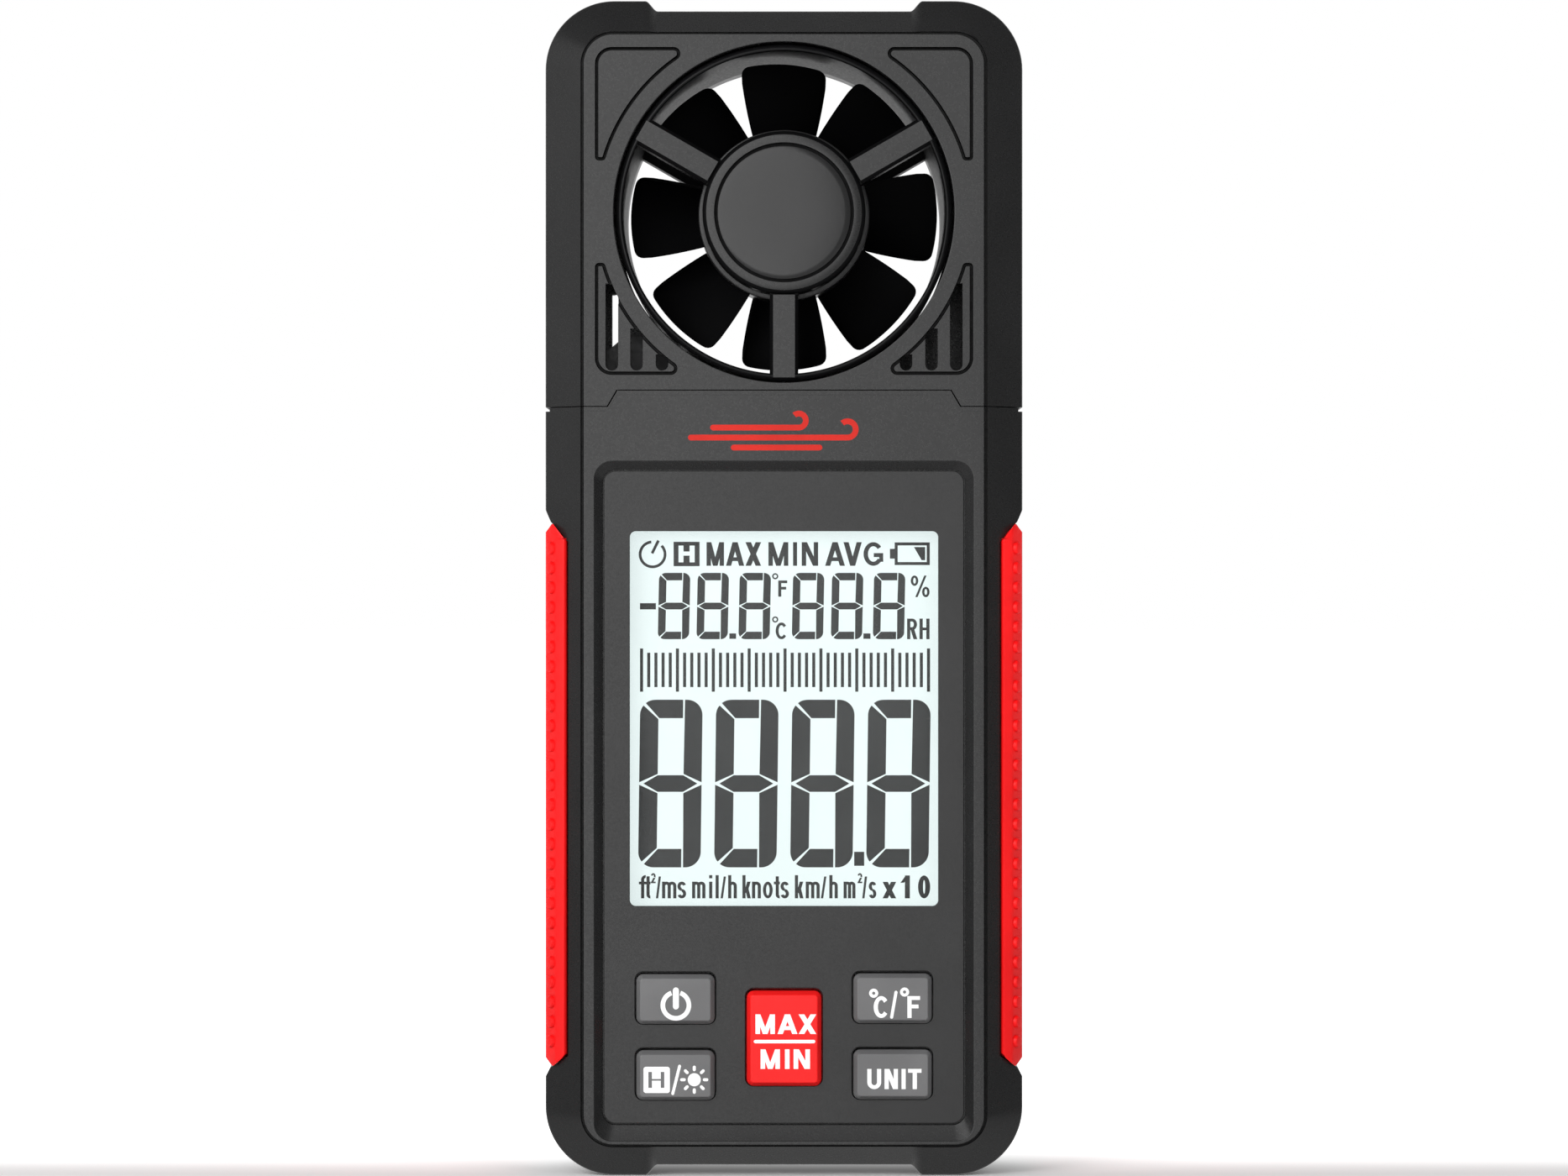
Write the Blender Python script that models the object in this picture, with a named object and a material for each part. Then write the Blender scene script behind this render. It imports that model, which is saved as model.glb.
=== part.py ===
"""Handheld weather meter: a vane anemometer head on a display and keypad body.

The meter stands upright. +Z runs up its length, +X to the right of someone who reads the display,
and the display faces -Y. The origin is at the middle of the footprint. Sizes below are in
millimetres, and MM turns them into Blender's metres.
"""
import math

import bmesh
import bpy
from mathutils import Vector

MM = 0.001
GAP = 0.3                      # clearance between two pieces that touch on the real meter

# Case outline, as (half width, lowest z, highest z, corner radius, set-back between the bumpers)
FACE_OUTLINE = (27.2, 4.6, 155.0, 4.1, 0.0)
FULL_OUTLINE = (32.5, 0.0, 160.0, 9.4, 1.4)
BUMPER_EDGE = 18.9             # where a corner bumper starts to fall away
BUMPER_FOOT = 17.2             # where it meets the set-back middle
FACE_Y = 14.5                  # front face at -14.5, rear face at +14.5
CHAMFER_Y = 9.5                # the chamfer band ends here
HALF_SPLIT = GAP / 2           # each half shell stops this far from the parting plane y = 0

# Seam between head and body, a shallow trapezoid
SEAM_Z = 104.56
SEAM_TOP_Z = 106.77
SEAM_FOOT_X = 23.9
SEAM_TOP_X = 22.6

# Cavities
BODY_CAVITY_BACK = (29.0, 3.6, 101.8, 1.5)
BODY_CAVITY_FACE = (25.3, 5.8, 101.8, 2.0)
BODY_FRONT_CAVITY_Y = (-11.0, -8.0)
BODY_REAR_CAVITY_Y = (12.5, 9.0)
HEAD_CAVITY_BACK = (30.3, 108.4, 156.4, 7.0)
HEAD_CAVITY_FACE = (26.2, 108.4, 153.4, 3.0)
HEAD_CAVITY_Y = (12.3, 9.0)

# Faceplate, display and keys
RECESS_MOUTH = (25.6, 6.1, 97.1, 2.4)
RECESS_FLOOR = (24.65, 7.2, 96.1, 1.8)
PLATE_Y = (-13.4, -12.6)
LEDGE_Y = -12.3
PLATE = (24.35, 7.5, 95.8, 1.5)
WINDOW = (20.9, 36.9, 87.7, 0.8)
LENS = (22.0, 35.9, 88.7, 1.0)
KEY_SIZE = (11.0, 7.15)
MAX_KEY_SIZE = (10.5, 13.3)
KEY_CLEARANCE = 0.25
KEY_RADIUS = 1.1
KEY_TOP_INSET = 0.5
KEY_TOP_Y = -14.5
KEY_SHOULDER_Y = -13.3
KEY_FLANGE_Y = (-10.7, -9.9)
KEY_FLANGE = 0.8
KEYS = {
    "power_button": (-14.7, 24.3, KEY_SIZE),
    "hold_light_button": (-14.7, 14.0, KEY_SIZE),
    "temperature_unit_button": (14.7, 24.4, KEY_SIZE),
    "unit_button": (14.7, 14.1, KEY_SIZE),
    "max_min_button": (0.0, 19.0, MAX_KEY_SIZE),
}

# Vane
VANE_Z = 130.85
FACE_HOLE_R = 23.05
FRAME_R = 22.75
BORE_R = 21.85
FRAME_FRONT_Y = -14.0
LIP_R = 22.16
LIP_Y = -13.3
HUB_R = 11.05
HUB_FACE_R = 10.53
HUB_BEVEL = 0.5
HUB_FRONT_Y = -14.1
HUB_WALL_R = 9.6
CAP_SEAT_R = 9.43
CAP_R = 9.03
SPOKE_ANGLES = (30, 150, 270)
SPOKE_WIDTH = 3.86
SPOKE_FACE_WIDTH = 2.94
SPOKE_Y = (-14.0, -9.7)
BOSS_R = 4.2
BEARING_R = 3.0
BEARING_BORE_R = 0.95
BEARING_LENGTH = 2.0
SHAFT_R = 0.65
ROTOR_R = 21.0
ROTOR_HUB_R = 11.7
ROTOR_HUB_Y = (-8.2, 0.6)
BLADE_COUNT = 8
BLADE_Y = -4.2                 # middle of the blades, along the shaft
BLADE_HALF_DEPTH = 3.1
BLADE_ROOT_ANGLE = 20.7        # half of the angle that a blade covers, at its root and its tip
BLADE_TIP_ANGLE = 16.6
BLADE_THICKNESS = 0.9
BLADE_CORNER_R = 1.3

# Vent slots of one lower corner, as (inner |x|, outer |x|, highest z)
VENT_SLOTS = ((22.44, 24.16, 121.2), (19.1, 20.8, 115.1), (15.65, 17.35, 111.6))
VENT_FOOT_Z = 109.4
BLIND_VENT_Y = 13.3            # the rear slots on the side without the air sensor stop here

# Boards: outline of the air sensor's board as (x, z), its slanted top clear of the outer vent slot
AIR_BOARD = ((-25.0, 108.8), (-15.2, 108.8), (-15.2, 112.6), (-17.6, 114.5), (-21.9, 114.5), (-25.0, 111.9))
CABLE_R = 0.4

# Batteries and their compartment
CELL_R = 5.25
CELL_PITCH = 11.2
CELL_Y = 6.6
CELL_LENGTH = 43.5
NUB_R = 1.9
NUB_LENGTH = 1.0
SPRING_LENGTH = 5.0
SPRING_TURNS = 3.5
SPRING_WIRE_R = 0.3
SPRING_COIL_R = (3.4, 2.3)     # at the contact strip and at the cell
TRAY = (21.0, 17.5, 78.0)      # half width, lowest and highest z of the tray's outside
TRAY_INSIDE = (17.9, 19.0, 72.3)
TRAY_Y = (-0.6, 0.9)
CONTACT = 0.4                  # contact strip thickness
DOOR = (19.2, 14.6, 76.2)      # half width, lowest and highest z
DOOR_Y = (12.7, 14.5)
DOOR_AXIS = (13.2, 15.9)       # y and z of the line that the door tilts about
DOOR_HEEL_R = 1.3

# Screws, as (x, z)
BODY_SCREWS = {"body_screw_1": (-23.0, 8.8), "body_screw_2": (23.0, 8.8),
               "body_screw_3": (-23.0, 96.4), "body_screw_4": (23.0, 96.4)}
HEAD_SCREWS = {"head_screw_1": (-22.5, 150.2), "head_screw_2": (22.5, 150.2)}
NECK_SCREWS = {"neck_screw_1": -26.3, "neck_screw_2": 26.3}
SCREW_BOSS_R = 2.7
SCREW_R = 1.1
SCREW_HEAD_R = 1.9
SCREW_HEAD_HEIGHT = 1.6
SCREW_DRIVE_R = 0.9            # recess for the driver
SCREW_DRIVE_DEPTH = 0.7
NECK_SCREW_LENGTH = 6.6
SCREW_SEAT_Y = 7.5
SCREW_TIP_Y = -5.5
NECK_SCREW_Y = -5.0

# Grips
GRIP_Z = (14.9, 88.9)
GRIP_END_SLOPE = 2.1
GRIP_SECTION = ((29.4, -12.1), (29.75, -12.6), (30.8, -11.9), (32.5, -9.9),
                (32.5, 9.9), (30.8, 11.9), (29.75, 12.6), (29.4, 12.1),
                (29.4, 11.2), (31.0, 9.3), (31.0, -9.3), (29.4, -11.2))
POCKET_SECTION = ((29.1, -13.5), (34.0, -13.5), (34.0, 13.5), (29.1, 13.5),
                  (29.1, 11.0), (30.7, 9.1), (30.7, -9.1), (29.1, -11.0))

# Display stack and circuit board, front to back
LCD = (23.0, 33.5, 91.1)
LCD_Y = (-10.7, -8.9)
BACKLIGHT = (22.4, 36.6, 88.4)
BACKLIGHT_Y = (-8.6, -6.9)
BOARD_Y = (-6.6, -5.0)

ROUND = 40                     # sides of the large turned pieces
SMALL_ROUND = 12               # sides of the small ones


# ---------------------------------------------------------------- scene and materials

def clear_scene():
    for item in list(bpy.data.objects):
        bpy.data.objects.remove(item, do_unlink=True)


def material(name, colour, roughness, metallic=0.0, alpha=1.0):
    finish = bpy.data.materials.new(name)
    finish.use_nodes = True
    shader = finish.node_tree.nodes["Principled BSDF"]
    shader.inputs["Base Color"].default_value = (*colour, 1.0)
    shader.inputs["Roughness"].default_value = roughness
    shader.inputs["Metallic"].default_value = metallic
    shader.inputs["Alpha"].default_value = alpha
    finish.diffuse_color = (*colour, alpha)
    return finish


def palette():
    return {
        "case": material("case_black", (0.075, 0.075, 0.077), 0.55),
        "grip": material("grip_red", (0.82, 0.03, 0.03), 0.45),
        "plate": material("faceplate_grey", (0.078, 0.078, 0.078), 0.4),
        "lens": material("clear_lens", (0.85, 0.95, 0.94), 0.05, alpha=0.4),
        "lcd": material("lcd_glass", (0.83, 0.97, 0.95), 0.2),
        "light": material("backlight", (0.9, 0.95, 1.0), 0.4),
        "gloss": material("duct_gloss_black", (0.012, 0.012, 0.013), 0.12),
        "rotor": material("rotor_black", (0.01, 0.01, 0.01), 0.3),
        "key_grey": material("key_grey", (0.2, 0.2, 0.2), 0.45),
        "key_red": material("key_red", (0.85, 0.03, 0.03), 0.35),
        "rubber": material("silicone_grey", (0.3, 0.3, 0.3), 0.7),
        "board": material("board_green", (0.02, 0.18, 0.07), 0.4),
        "chip": material("chip_black", (0.03, 0.03, 0.03), 0.5),
        "white": material("white_plastic", (0.75, 0.75, 0.72), 0.5),
        "steel": material("steel", (0.55, 0.55, 0.56), 0.3, 1.0),
        "nickel": material("nickel_contact", (0.7, 0.68, 0.62), 0.3, 1.0),
        "magnet": material("magnet", (0.3, 0.3, 0.32), 0.35, 1.0),
        "cell": material("cell_sleeve", (0.12, 0.25, 0.45), 0.35),
        "cable": material("cable_grey", (0.2, 0.2, 0.21), 0.5),
    }


# ---------------------------------------------------------------- outlines, as (x, z) in millimetres

def arc(cx, cz, radius, start, end, steps=6):
    angles = [math.radians(start + (end - start) * i / steps) for i in range(steps + 1)]
    return [(cx + radius * math.cos(a), cz + radius * math.sin(a)) for a in angles]


def rounded_rect(half_width, bottom, top, radius, x=0.0, steps=4):
    side, low, high = half_width - radius, bottom + radius, top - radius
    return (arc(x + side, high, radius, 0, 90, steps) + arc(x - side, high, radius, 90, 180, steps)
            + arc(x - side, low, radius, 180, 270, steps) + arc(x + side, low, radius, 270, 360, steps))


def box_outline(x0, x1, z0, z1):
    return [(x0, z0), (x1, z0), (x1, z1), (x0, z1)]


def case_outline(half_width, bottom, top, radius, set_back):
    """Rounded rectangle whose top and bottom edges step back between the corner bumpers."""
    step = []
    for i in range(5):
        t = i / 4
        step.append((BUMPER_EDGE + (BUMPER_FOOT - BUMPER_EDGE) * t, set_back * t * t * (3 - 2 * t)))
    side, low, high = half_width - radius, bottom + radius, top - radius
    points = arc(side, high, radius, 0, 90)
    points += [(x, top - drop) for x, drop in step]
    points += [(-x, top - drop) for x, drop in reversed(step)]
    points += arc(-side, high, radius, 90, 180) + arc(-side, low, radius, 180, 270)
    points += [(-x, bottom + drop) for x, drop in step]
    points += [(x, bottom + drop) for x, drop in reversed(step)]
    return points + arc(side, low, radius, 270, 360)


def key_outline(x, z, size, grow):
    width, height = size
    half = width / 2 + grow
    return rounded_rect(half, z - height / 2 - grow, z + height / 2 + grow, KEY_RADIUS, x, steps=3)


# ---------------------------------------------------------------- solids

def make_object(name, bm, finish, origin=(0, 0, 0)):
    """Closes a bmesh drawn in millimetres into an object whose origin is at the given point."""
    bmesh.ops.recalc_face_normals(bm, faces=bm.faces)
    for vertex in bm.verts:
        vertex.co = (vertex.co - Vector(origin)) * MM
    mesh = bpy.data.meshes.new(name)
    bm.to_mesh(mesh)
    bm.free()
    if finish is not None:
        mesh.materials.append(finish)
    mesh.shade_smooth()
    mesh.set_sharp_from_angle(angle=math.radians(30))
    item = bpy.data.objects.new(name, mesh)
    item.location = Vector(origin) * MM
    bpy.context.scene.collection.objects.link(item)
    return item


def loft(name, rings, finish=None, origin=(0, 0, 0), ends=True):
    """Skins rings of (x, y, z) points that all have the same number of points."""
    bm = bmesh.new()
    rows = [[bm.verts.new(point) for point in ring] for ring in rings]
    count = len(rows[0])
    pairs = list(zip(rows, rows[1:]))
    if not ends:
        pairs.append((rows[-1], rows[0]))
    for first, second in pairs:
        for i in range(count):
            j = (i + 1) % count
            bm.faces.new((first[i], first[j], second[j], second[i]))
    if ends:
        bm.faces.new(rows[0])
        bm.faces.new(list(reversed(rows[-1])))
    return make_object(name, bm, finish, origin)


def prism_y(name, outline, y0, y1, finish=None, origin=(0, 0, 0)):
    """Extrudes an X-Z outline along Y."""
    return loft(name, [[(x, y, z) for x, z in outline] for y in (y0, y1)], finish, origin)


def prism_z(name, outline, z0, z1, finish=None, origin=(0, 0, 0)):
    """Extrudes an X-Y outline along Z."""
    return loft(name, [[(x, y, z) for x, y in outline] for z in (z0, z1)], finish, origin)


def box(name, x, y, z, finish=None, origin=(0, 0, 0)):
    return prism_y(name, box_outline(x[0], x[1], z[0], z[1]), y[0], y[1], finish, origin)


def turned(name, profile, centre, axis="Y", finish=None, sides=ROUND, origin=(0, 0, 0)):
    """Turns a closed profile of (radius, distance along the axis) about a line through centre.

    A point with radius 0 at each end closes the solid on its axis; a profile without one makes a ring.
    """
    solid = profile[0][0] == 0 and profile[-1][0] == 0
    inner = profile[1:-1] if solid else profile

    def point(radius, along, k):
        angle = 2 * math.pi * k / sides
        a, b = radius * math.cos(angle), radius * math.sin(angle)
        if axis == "Y":
            return (centre[0] + a, along, centre[1] + b)
        return (centre[0] + a, centre[1] + b, along)

    rings = [[point(radius, along, k) for k in range(sides)] for radius, along in inner]
    return loft(name, rings, finish, origin, ends=solid)


def tube(name, points, radius, finish):
    """A cable along a smooth curve through the given points."""
    curve = bpy.data.curves.new(name, "CURVE")
    curve.dimensions = "3D"
    curve.bevel_depth = radius * MM
    curve.bevel_resolution = 2
    curve.use_fill_caps = True
    spline = curve.splines.new("POLY")
    smooth = smooth_path(points)
    spline.points.add(len(smooth) - 1)
    for target, place in zip(spline.points, smooth):
        target.co = (*(place * MM), 1.0)
    curve.materials.append(finish)
    item = bpy.data.objects.new(name, curve)
    bpy.context.scene.collection.objects.link(item)
    return item


def smooth_path(points, steps=2):
    """Catmull-Rom curve through the points."""
    points = [Vector(p) for p in points]
    padded = [2 * points[0] - points[1]] + points + [2 * points[-1] - points[-2]]
    path = []
    for a, b, c, d in zip(padded, padded[1:], padded[2:], padded[3:]):
        for i in range(steps):
            t = i / steps
            path.append(0.5 * (2 * b + (c - a) * t + (2 * a - 5 * b + 4 * c - d) * t * t
                               + (3 * b - a - 3 * c + d) * t ** 3))
    return path + [points[-1]]


def boolean(item, tool, operation):
    """Cuts, joins or keeps the overlap with another solid, which is then only a hidden tool."""
    tool.hide_render = True
    tool.display_type = "WIRE"
    modifier = item.modifiers.new(tool.name, "BOOLEAN")
    modifier.operation = operation
    modifier.object = tool
    modifier.solver = "EXACT"


def cut(item, *tools):
    for tool in tools:
        boolean(item, tool, "DIFFERENCE")


def join(item, *tools):
    for tool in tools:
        boolean(item, tool, "UNION")


def keep_inside(item, tool):
    boolean(item, tool, "INTERSECT")


# ---------------------------------------------------------------- case

def half_case(name, side, finish):
    """One full-length half of the case; side is -1 for the front half and 1 for the rear half."""
    stations = ((FACE_Y, FACE_OUTLINE), (CHAMFER_Y, FULL_OUTLINE), (HALF_SPLIT, FULL_OUTLINE))
    rings = [[(x, side * y, z) for x, z in case_outline(*outline)] for y, outline in stations]
    return loft(name, rings, finish)


def seam_region(name, is_head):
    """Everything on one side of the seam, half a gap away from it."""
    shift = HALF_SPLIT if is_head else -HALF_SPLIT
    path = [(SEAM_FOOT_X + 40, SEAM_Z + shift), (SEAM_FOOT_X + shift, SEAM_Z + shift),
            (SEAM_TOP_X + shift, SEAM_TOP_Z + shift)]
    path += [(-x, z) for x, z in reversed(path)]
    far_z = 200 if is_head else -50
    outline = path + [(path[-1][0], far_z), (path[0][0], far_z)]
    return prism_y(name, outline, -30, 30)


def cavity(name, face, back, y_face, y_back, y_end):
    rings = [[(x, y, z) for x, z in rounded_rect(*outline)]
             for y, outline in ((y_face, face), (y_back, back), (y_end, back))]
    return loft(name, rings)


def vane_hole(name):
    return turned(name, [(0, -30), (FACE_HOLE_R, -30), (FACE_HOLE_R, 30), (0, 30)], (0, VANE_Z))


def vent_slots(name, side, from_y=-30):
    """The three round-footed slots of one lower corner, cut from from_y to the back."""
    first = None
    for index, (inner, outer, top) in enumerate(VENT_SLOTS):
        radius = (outer - inner) / 2
        middle = side * (inner + outer) / 2
        outline = [(middle + radius, top), (middle - radius, top)]
        outline += arc(middle, VENT_FOOT_Z + radius, radius, 180, 360, 5)
        slot = prism_y(f"{name}_{index}", outline, from_y, 30)
        if first is None:
            first = slot
        else:
            join(first, slot)
    return first


def wire_passages(tag):
    """Holes in the head's floor and the body's roof for the two sensor cables."""
    return (box(f"vane_wire_hole_{tag}", (-4, 4), (-10.9, -6), (100, 109)),
            box(f"air_wire_hole_{tag}", (-14, -9), (-6, -2), (100, 110.5)))


def front_boss(name, x, z, wall_y, tip_y=-HALF_SPLIT):
    return turned(name, [(0, wall_y), (SCREW_BOSS_R, wall_y), (SCREW_BOSS_R, tip_y), (0, tip_y)],
                  (x, z), sides=SMALL_ROUND)


def pilot_hole(name, x, z):
    deep = SCREW_TIP_Y - 1
    return turned(name, [(0, deep), (SCREW_R + GAP, deep), (SCREW_R + GAP, 1), (0, 1)],
                  (x, z), sides=SMALL_ROUND)


def rear_bore(name, x, z):
    """Clearance hole and counterbore that a screw and its driver go down."""
    shank, head = SCREW_R + GAP, SCREW_HEAD_R + GAP
    profile = [(0, -1), (shank, -1), (shank, SCREW_SEAT_Y), (head, SCREW_SEAT_Y), (head, 20), (0, 20)]
    return turned(name, profile, (x, z), sides=SMALL_ROUND)


def neck_hole(name, x):
    profile = [(0, 98), (SCREW_R + GAP, 98), (SCREW_R + GAP, 112), (0, 112)]
    return turned(name, profile, (x, NECK_SCREW_Y), "Z", sides=SMALL_ROUND)


def head_covers(colours):
    front = half_case("head_front_cover", -1, colours["case"])
    rear = half_case("head_rear_cover", 1, colours["case"])
    for tag, cover, side in (("front", front, -1), ("rear", rear, 1)):
        keep_inside(cover, seam_region(f"head_region_{tag}", True))
        cut(cover, cavity(f"head_cavity_{tag}", HEAD_CAVITY_FACE, HEAD_CAVITY_BACK,
                          side * HEAD_CAVITY_Y[0], side * HEAD_CAVITY_Y[1], -side))
        for name, (x, z) in HEAD_SCREWS.items():
            join(cover, front_boss(f"{name}_boss_{tag}", x, z, side * 13, side * HALF_SPLIT))
        cut(cover, vane_hole(f"vane_hole_{tag}"))
        cut(cover, vent_slots(f"left_vents_{tag}", -1),
            vent_slots(f"right_vents_{tag}", 1, BLIND_VENT_Y if side > 0 else -30))
        for name, (x, z) in HEAD_SCREWS.items():
            maker = pilot_hole if side < 0 else rear_bore
            cut(cover, maker(f"{name}_hole_{tag}", x, z))
    cut(front, *wire_passages("head"))
    for name, x in NECK_SCREWS.items():
        cut(front, neck_hole(f"{name}_hole_head", x))


def grip_outline(grow):
    """Front view of one grip: a long strip whose inner corners are cut at a slant."""
    low, high = GRIP_Z[0] - grow, GRIP_Z[1] + grow
    slope = GRIP_END_SLOPE
    return [(28.5, low + slope + 0.8), (31.6, low), (34.5, low),
            (34.5, high), (31.6, high), (28.5, high - slope - 0.8)]


def mirrored(points, side):
    return [(side * a, b) for a, b in points]


def grip_pocket(name, side):
    pocket = prism_z(name, mirrored(POCKET_SECTION, side), 0, 110)
    keep_inside(pocket, prism_y(f"{name}_ends", mirrored(grip_outline(GAP), side), -20, 20))
    return pocket


def grips(colours):
    for name, side in (("left_grip", -1), ("right_grip", 1)):
        grip = prism_z(name, mirrored(GRIP_SECTION, side), 0, 110, colours["grip"])
        keep_inside(grip, prism_y(f"{name}_ends", mirrored(grip_outline(0), side), -20, 20))


def body_front_shell(colours):
    shell = half_case("body_front_shell", -1, colours["case"])
    keep_inside(shell, seam_region("body_region_front", False))
    cut(shell, cavity("body_cavity_front", BODY_CAVITY_FACE, BODY_CAVITY_BACK, *BODY_FRONT_CAVITY_Y, 1))
    recess = [[(x, y, z) for x, z in rounded_rect(*outline)]
              for y, outline in ((-15.0, RECESS_MOUTH), (-14.5, RECESS_MOUTH),
                                 (PLATE_Y[0], RECESS_FLOOR), (LEDGE_Y, RECESS_FLOOR))]
    cut(shell, loft("faceplate_recess", recess))
    lens_hole = rounded_rect(LENS[0] + GAP, LENS[1] - GAP, LENS[2] + GAP, LENS[3])
    cut(shell, prism_y("display_hole", lens_hole, -13, -10))
    for name, (x, z, size) in KEYS.items():
        cut(shell, prism_y(f"{name}_hole", key_outline(x, z, size, 0), -13, -10))
    for name, (x, z) in BODY_SCREWS.items():
        join(shell, front_boss(f"{name}_boss_front", x, z, -11.5))
        cut(shell, pilot_hole(f"{name}_pilot", x, z))
    cut(shell, grip_pocket("left_pocket_front", -1), grip_pocket("right_pocket_front", 1))
    cut(shell, *wire_passages("body"))
    for name, x in NECK_SCREWS.items():
        cut(shell, neck_hole(f"{name}_hole_body", x))


def body_rear_shell(colours):
    shell = half_case("body_rear_shell", 1, colours["case"])
    keep_inside(shell, seam_region("body_region_rear", False))
    cut(shell, cavity("body_cavity_rear", BODY_CAVITY_FACE, BODY_CAVITY_BACK, *BODY_REAR_CAVITY_Y, -1))
    join(shell, box("battery_tray", (-TRAY[0], TRAY[0]), (TRAY_Y[0], 13), TRAY[1:]))
    cut(shell, box("battery_space", (-TRAY_INSIDE[0], TRAY_INSIDE[0]), (TRAY_Y[1], 20), TRAY_INSIDE[1:]))
    half, low, high = DOOR
    cut(shell, box("door_hole", (-half - GAP, half + GAP), (DOOR_Y[0] - GAP, 20), (low - GAP, high + GAP)))
    for name, (x, z) in BODY_SCREWS.items():
        join(shell, front_boss(f"{name}_boss_rear", x, z, 13, HALF_SPLIT))
        cut(shell, rear_bore(f"{name}_bore", x, z))
    cut(shell, grip_pocket("left_pocket_rear", -1), grip_pocket("right_pocket_rear", 1))
    for name, (x, z) in contact_tails().items():
        cut(shell, box(f"{name}_slot", (x - 1.6, x + 1.6), (-2, 2), (z - 0.4, z + CONTACT + 0.4)))


# ---------------------------------------------------------------- faceplate, keys and display

def faceplate(colours):
    plate = prism_y("faceplate", rounded_rect(*PLATE), *PLATE_Y, colours["plate"])
    cut(plate, prism_y("window_hole", rounded_rect(*WINDOW), -15, -10))
    for name, (x, z, size) in KEYS.items():
        cut(plate, prism_y(f"{name}_well", key_outline(x, z, size, 0), -15, -10))


def keys(colours):
    for name, (x, z, size) in KEYS.items():
        sections = ((KEY_TOP_Y, -KEY_TOP_INSET), (KEY_SHOULDER_Y, 0), (KEY_FLANGE_Y[0], 0),
                    (KEY_FLANGE_Y[0], KEY_FLANGE), (KEY_FLANGE_Y[1], KEY_FLANGE))
        rings = [[(px, y, pz) for px, pz in key_outline(x, z, size, grow - KEY_CLEARANCE)]
                 for y, grow in sections]
        finish = colours["key_red" if name == "max_min_button" else "key_grey"]
        loft(name, rings, finish, origin=(x, KEY_TOP_Y, z))


def keypad(colours):
    mat = box("keypad_mat", (-22.0, 22.0), (-7.7, -6.9), (12.2, 29.4), colours["rubber"])
    for name, (x, z, _) in KEYS.items():
        low = max(z, 15.2)
        rings = [[(x + r * math.cos(a), y, low + r * math.sin(a))
                  for a in [2 * math.pi * k / 12 for k in range(12)]]
                 for y, r in ((-7.2, 2.8), (-8.3, 2.3), (-8.9, 1.3))]
        join(mat, loft(f"{name}_dome", rings))


def display(colours):
    prism_y("display_window", rounded_rect(*LENS), -12.3, -11.3, colours["lens"])
    half, low, high = LCD
    box("lcd_panel", (-half, half), LCD_Y, (low, high), colours["lcd"])
    half, low, high = BACKLIGHT
    box("backlight_panel", (-half, half), BACKLIGHT_Y, (low, high), colours["light"])
    box("backlight_led_strip", (-14, 14), (-8.4, -7.1), (88.7, 90.9), colours["white"])
    box("lcd_connector_strip", (-21, 21), BACKLIGHT_Y, (33.9, 36.1), colours["rubber"])
    frame = box("lcd_frame", (-24.5, 24.5), (LCD_Y[0], BACKLIGHT_Y[1]), (32.0, 93.0), colours["white"])
    cut(frame, box("lcd_frame_hole", (-23.3, 23.3), (-12, -5), (33.2, 91.4)))


# ---------------------------------------------------------------- electronics

def electronics(colours):
    outline = [(-19.9, 7.5), (19.9, 7.5), (19.9, 12.0), (22.6, 12.0), (22.6, 93.0), (19.9, 93.0),
               (19.9, 97.5), (-19.9, 97.5), (-19.9, 93.0), (-22.6, 93.0), (-22.6, 12.0), (-19.9, 12.0)]
    prism_y("main_board", outline, *BOARD_Y, colours["board"])
    box("microcontroller", (-5, 5), (-4.7, -3.3), (77, 87), colours["chip"])
    box("quartz_crystal", (8, 12.5), (-4.7, -3.2), (80, 82), colours["steel"])
    box("sensor_connector", (-4.5, 4.5), (-9.3, -6.9), (94.2, 97.0), colours["white"])
    prism_y("air_sensor_board", AIR_BOARD, -4.2, -3.2, colours["board"])
    box("humidity_sensor", (-21.4, -18.6), (-5.6, -4.5), (109.4, 112.2), colours["white"])
    board = turned("rotation_sensor_board", [(4.6, -12.4), (8.9, -12.4), (8.9, -11.6), (4.6, -11.6)],
                   (0, VANE_Z), finish=colours["board"], sides=24)
    cut(board, box("board_wire_notch", (-1.2, 1.2), (-14, -10), (VANE_Z - 10, VANE_Z - 7.6)))
    box("hall_sensor", (5.2, 8.0), (-11.3, -10.2), (VANE_Z - 0.8, VANE_Z + 0.8), colours["chip"])
    tube("vane_sensor_cable", [(0, -10.9, 122.9), (0, -10.7, 120), (0, -10.6, 115), (0, -10.6, 111),
                               (0, -10.2, 108.5), (0, -9.3, 106), (0.6, -8.6, 103), (1.4, -8.2, 100),
                               (1.6, -8.1, 97.4)], CABLE_R, colours["cable"])
    tube("air_sensor_cable", [(-14.8, -3.7, 111.2), (-12.9, -3.8, 110.2), (-11.6, -4.0, 108.4),
                              (-11.4, -4.1, 106), (-11.0, -4.3, 102.5), (-9.0, -5.2, 100.2),
                              (-5.2, -7.0, 99.6), (-2.7, -8.0, 98.9), (-2.2, -8.1, 97.4)],
         CABLE_R, colours["cable"])


# ---------------------------------------------------------------- vane

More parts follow.
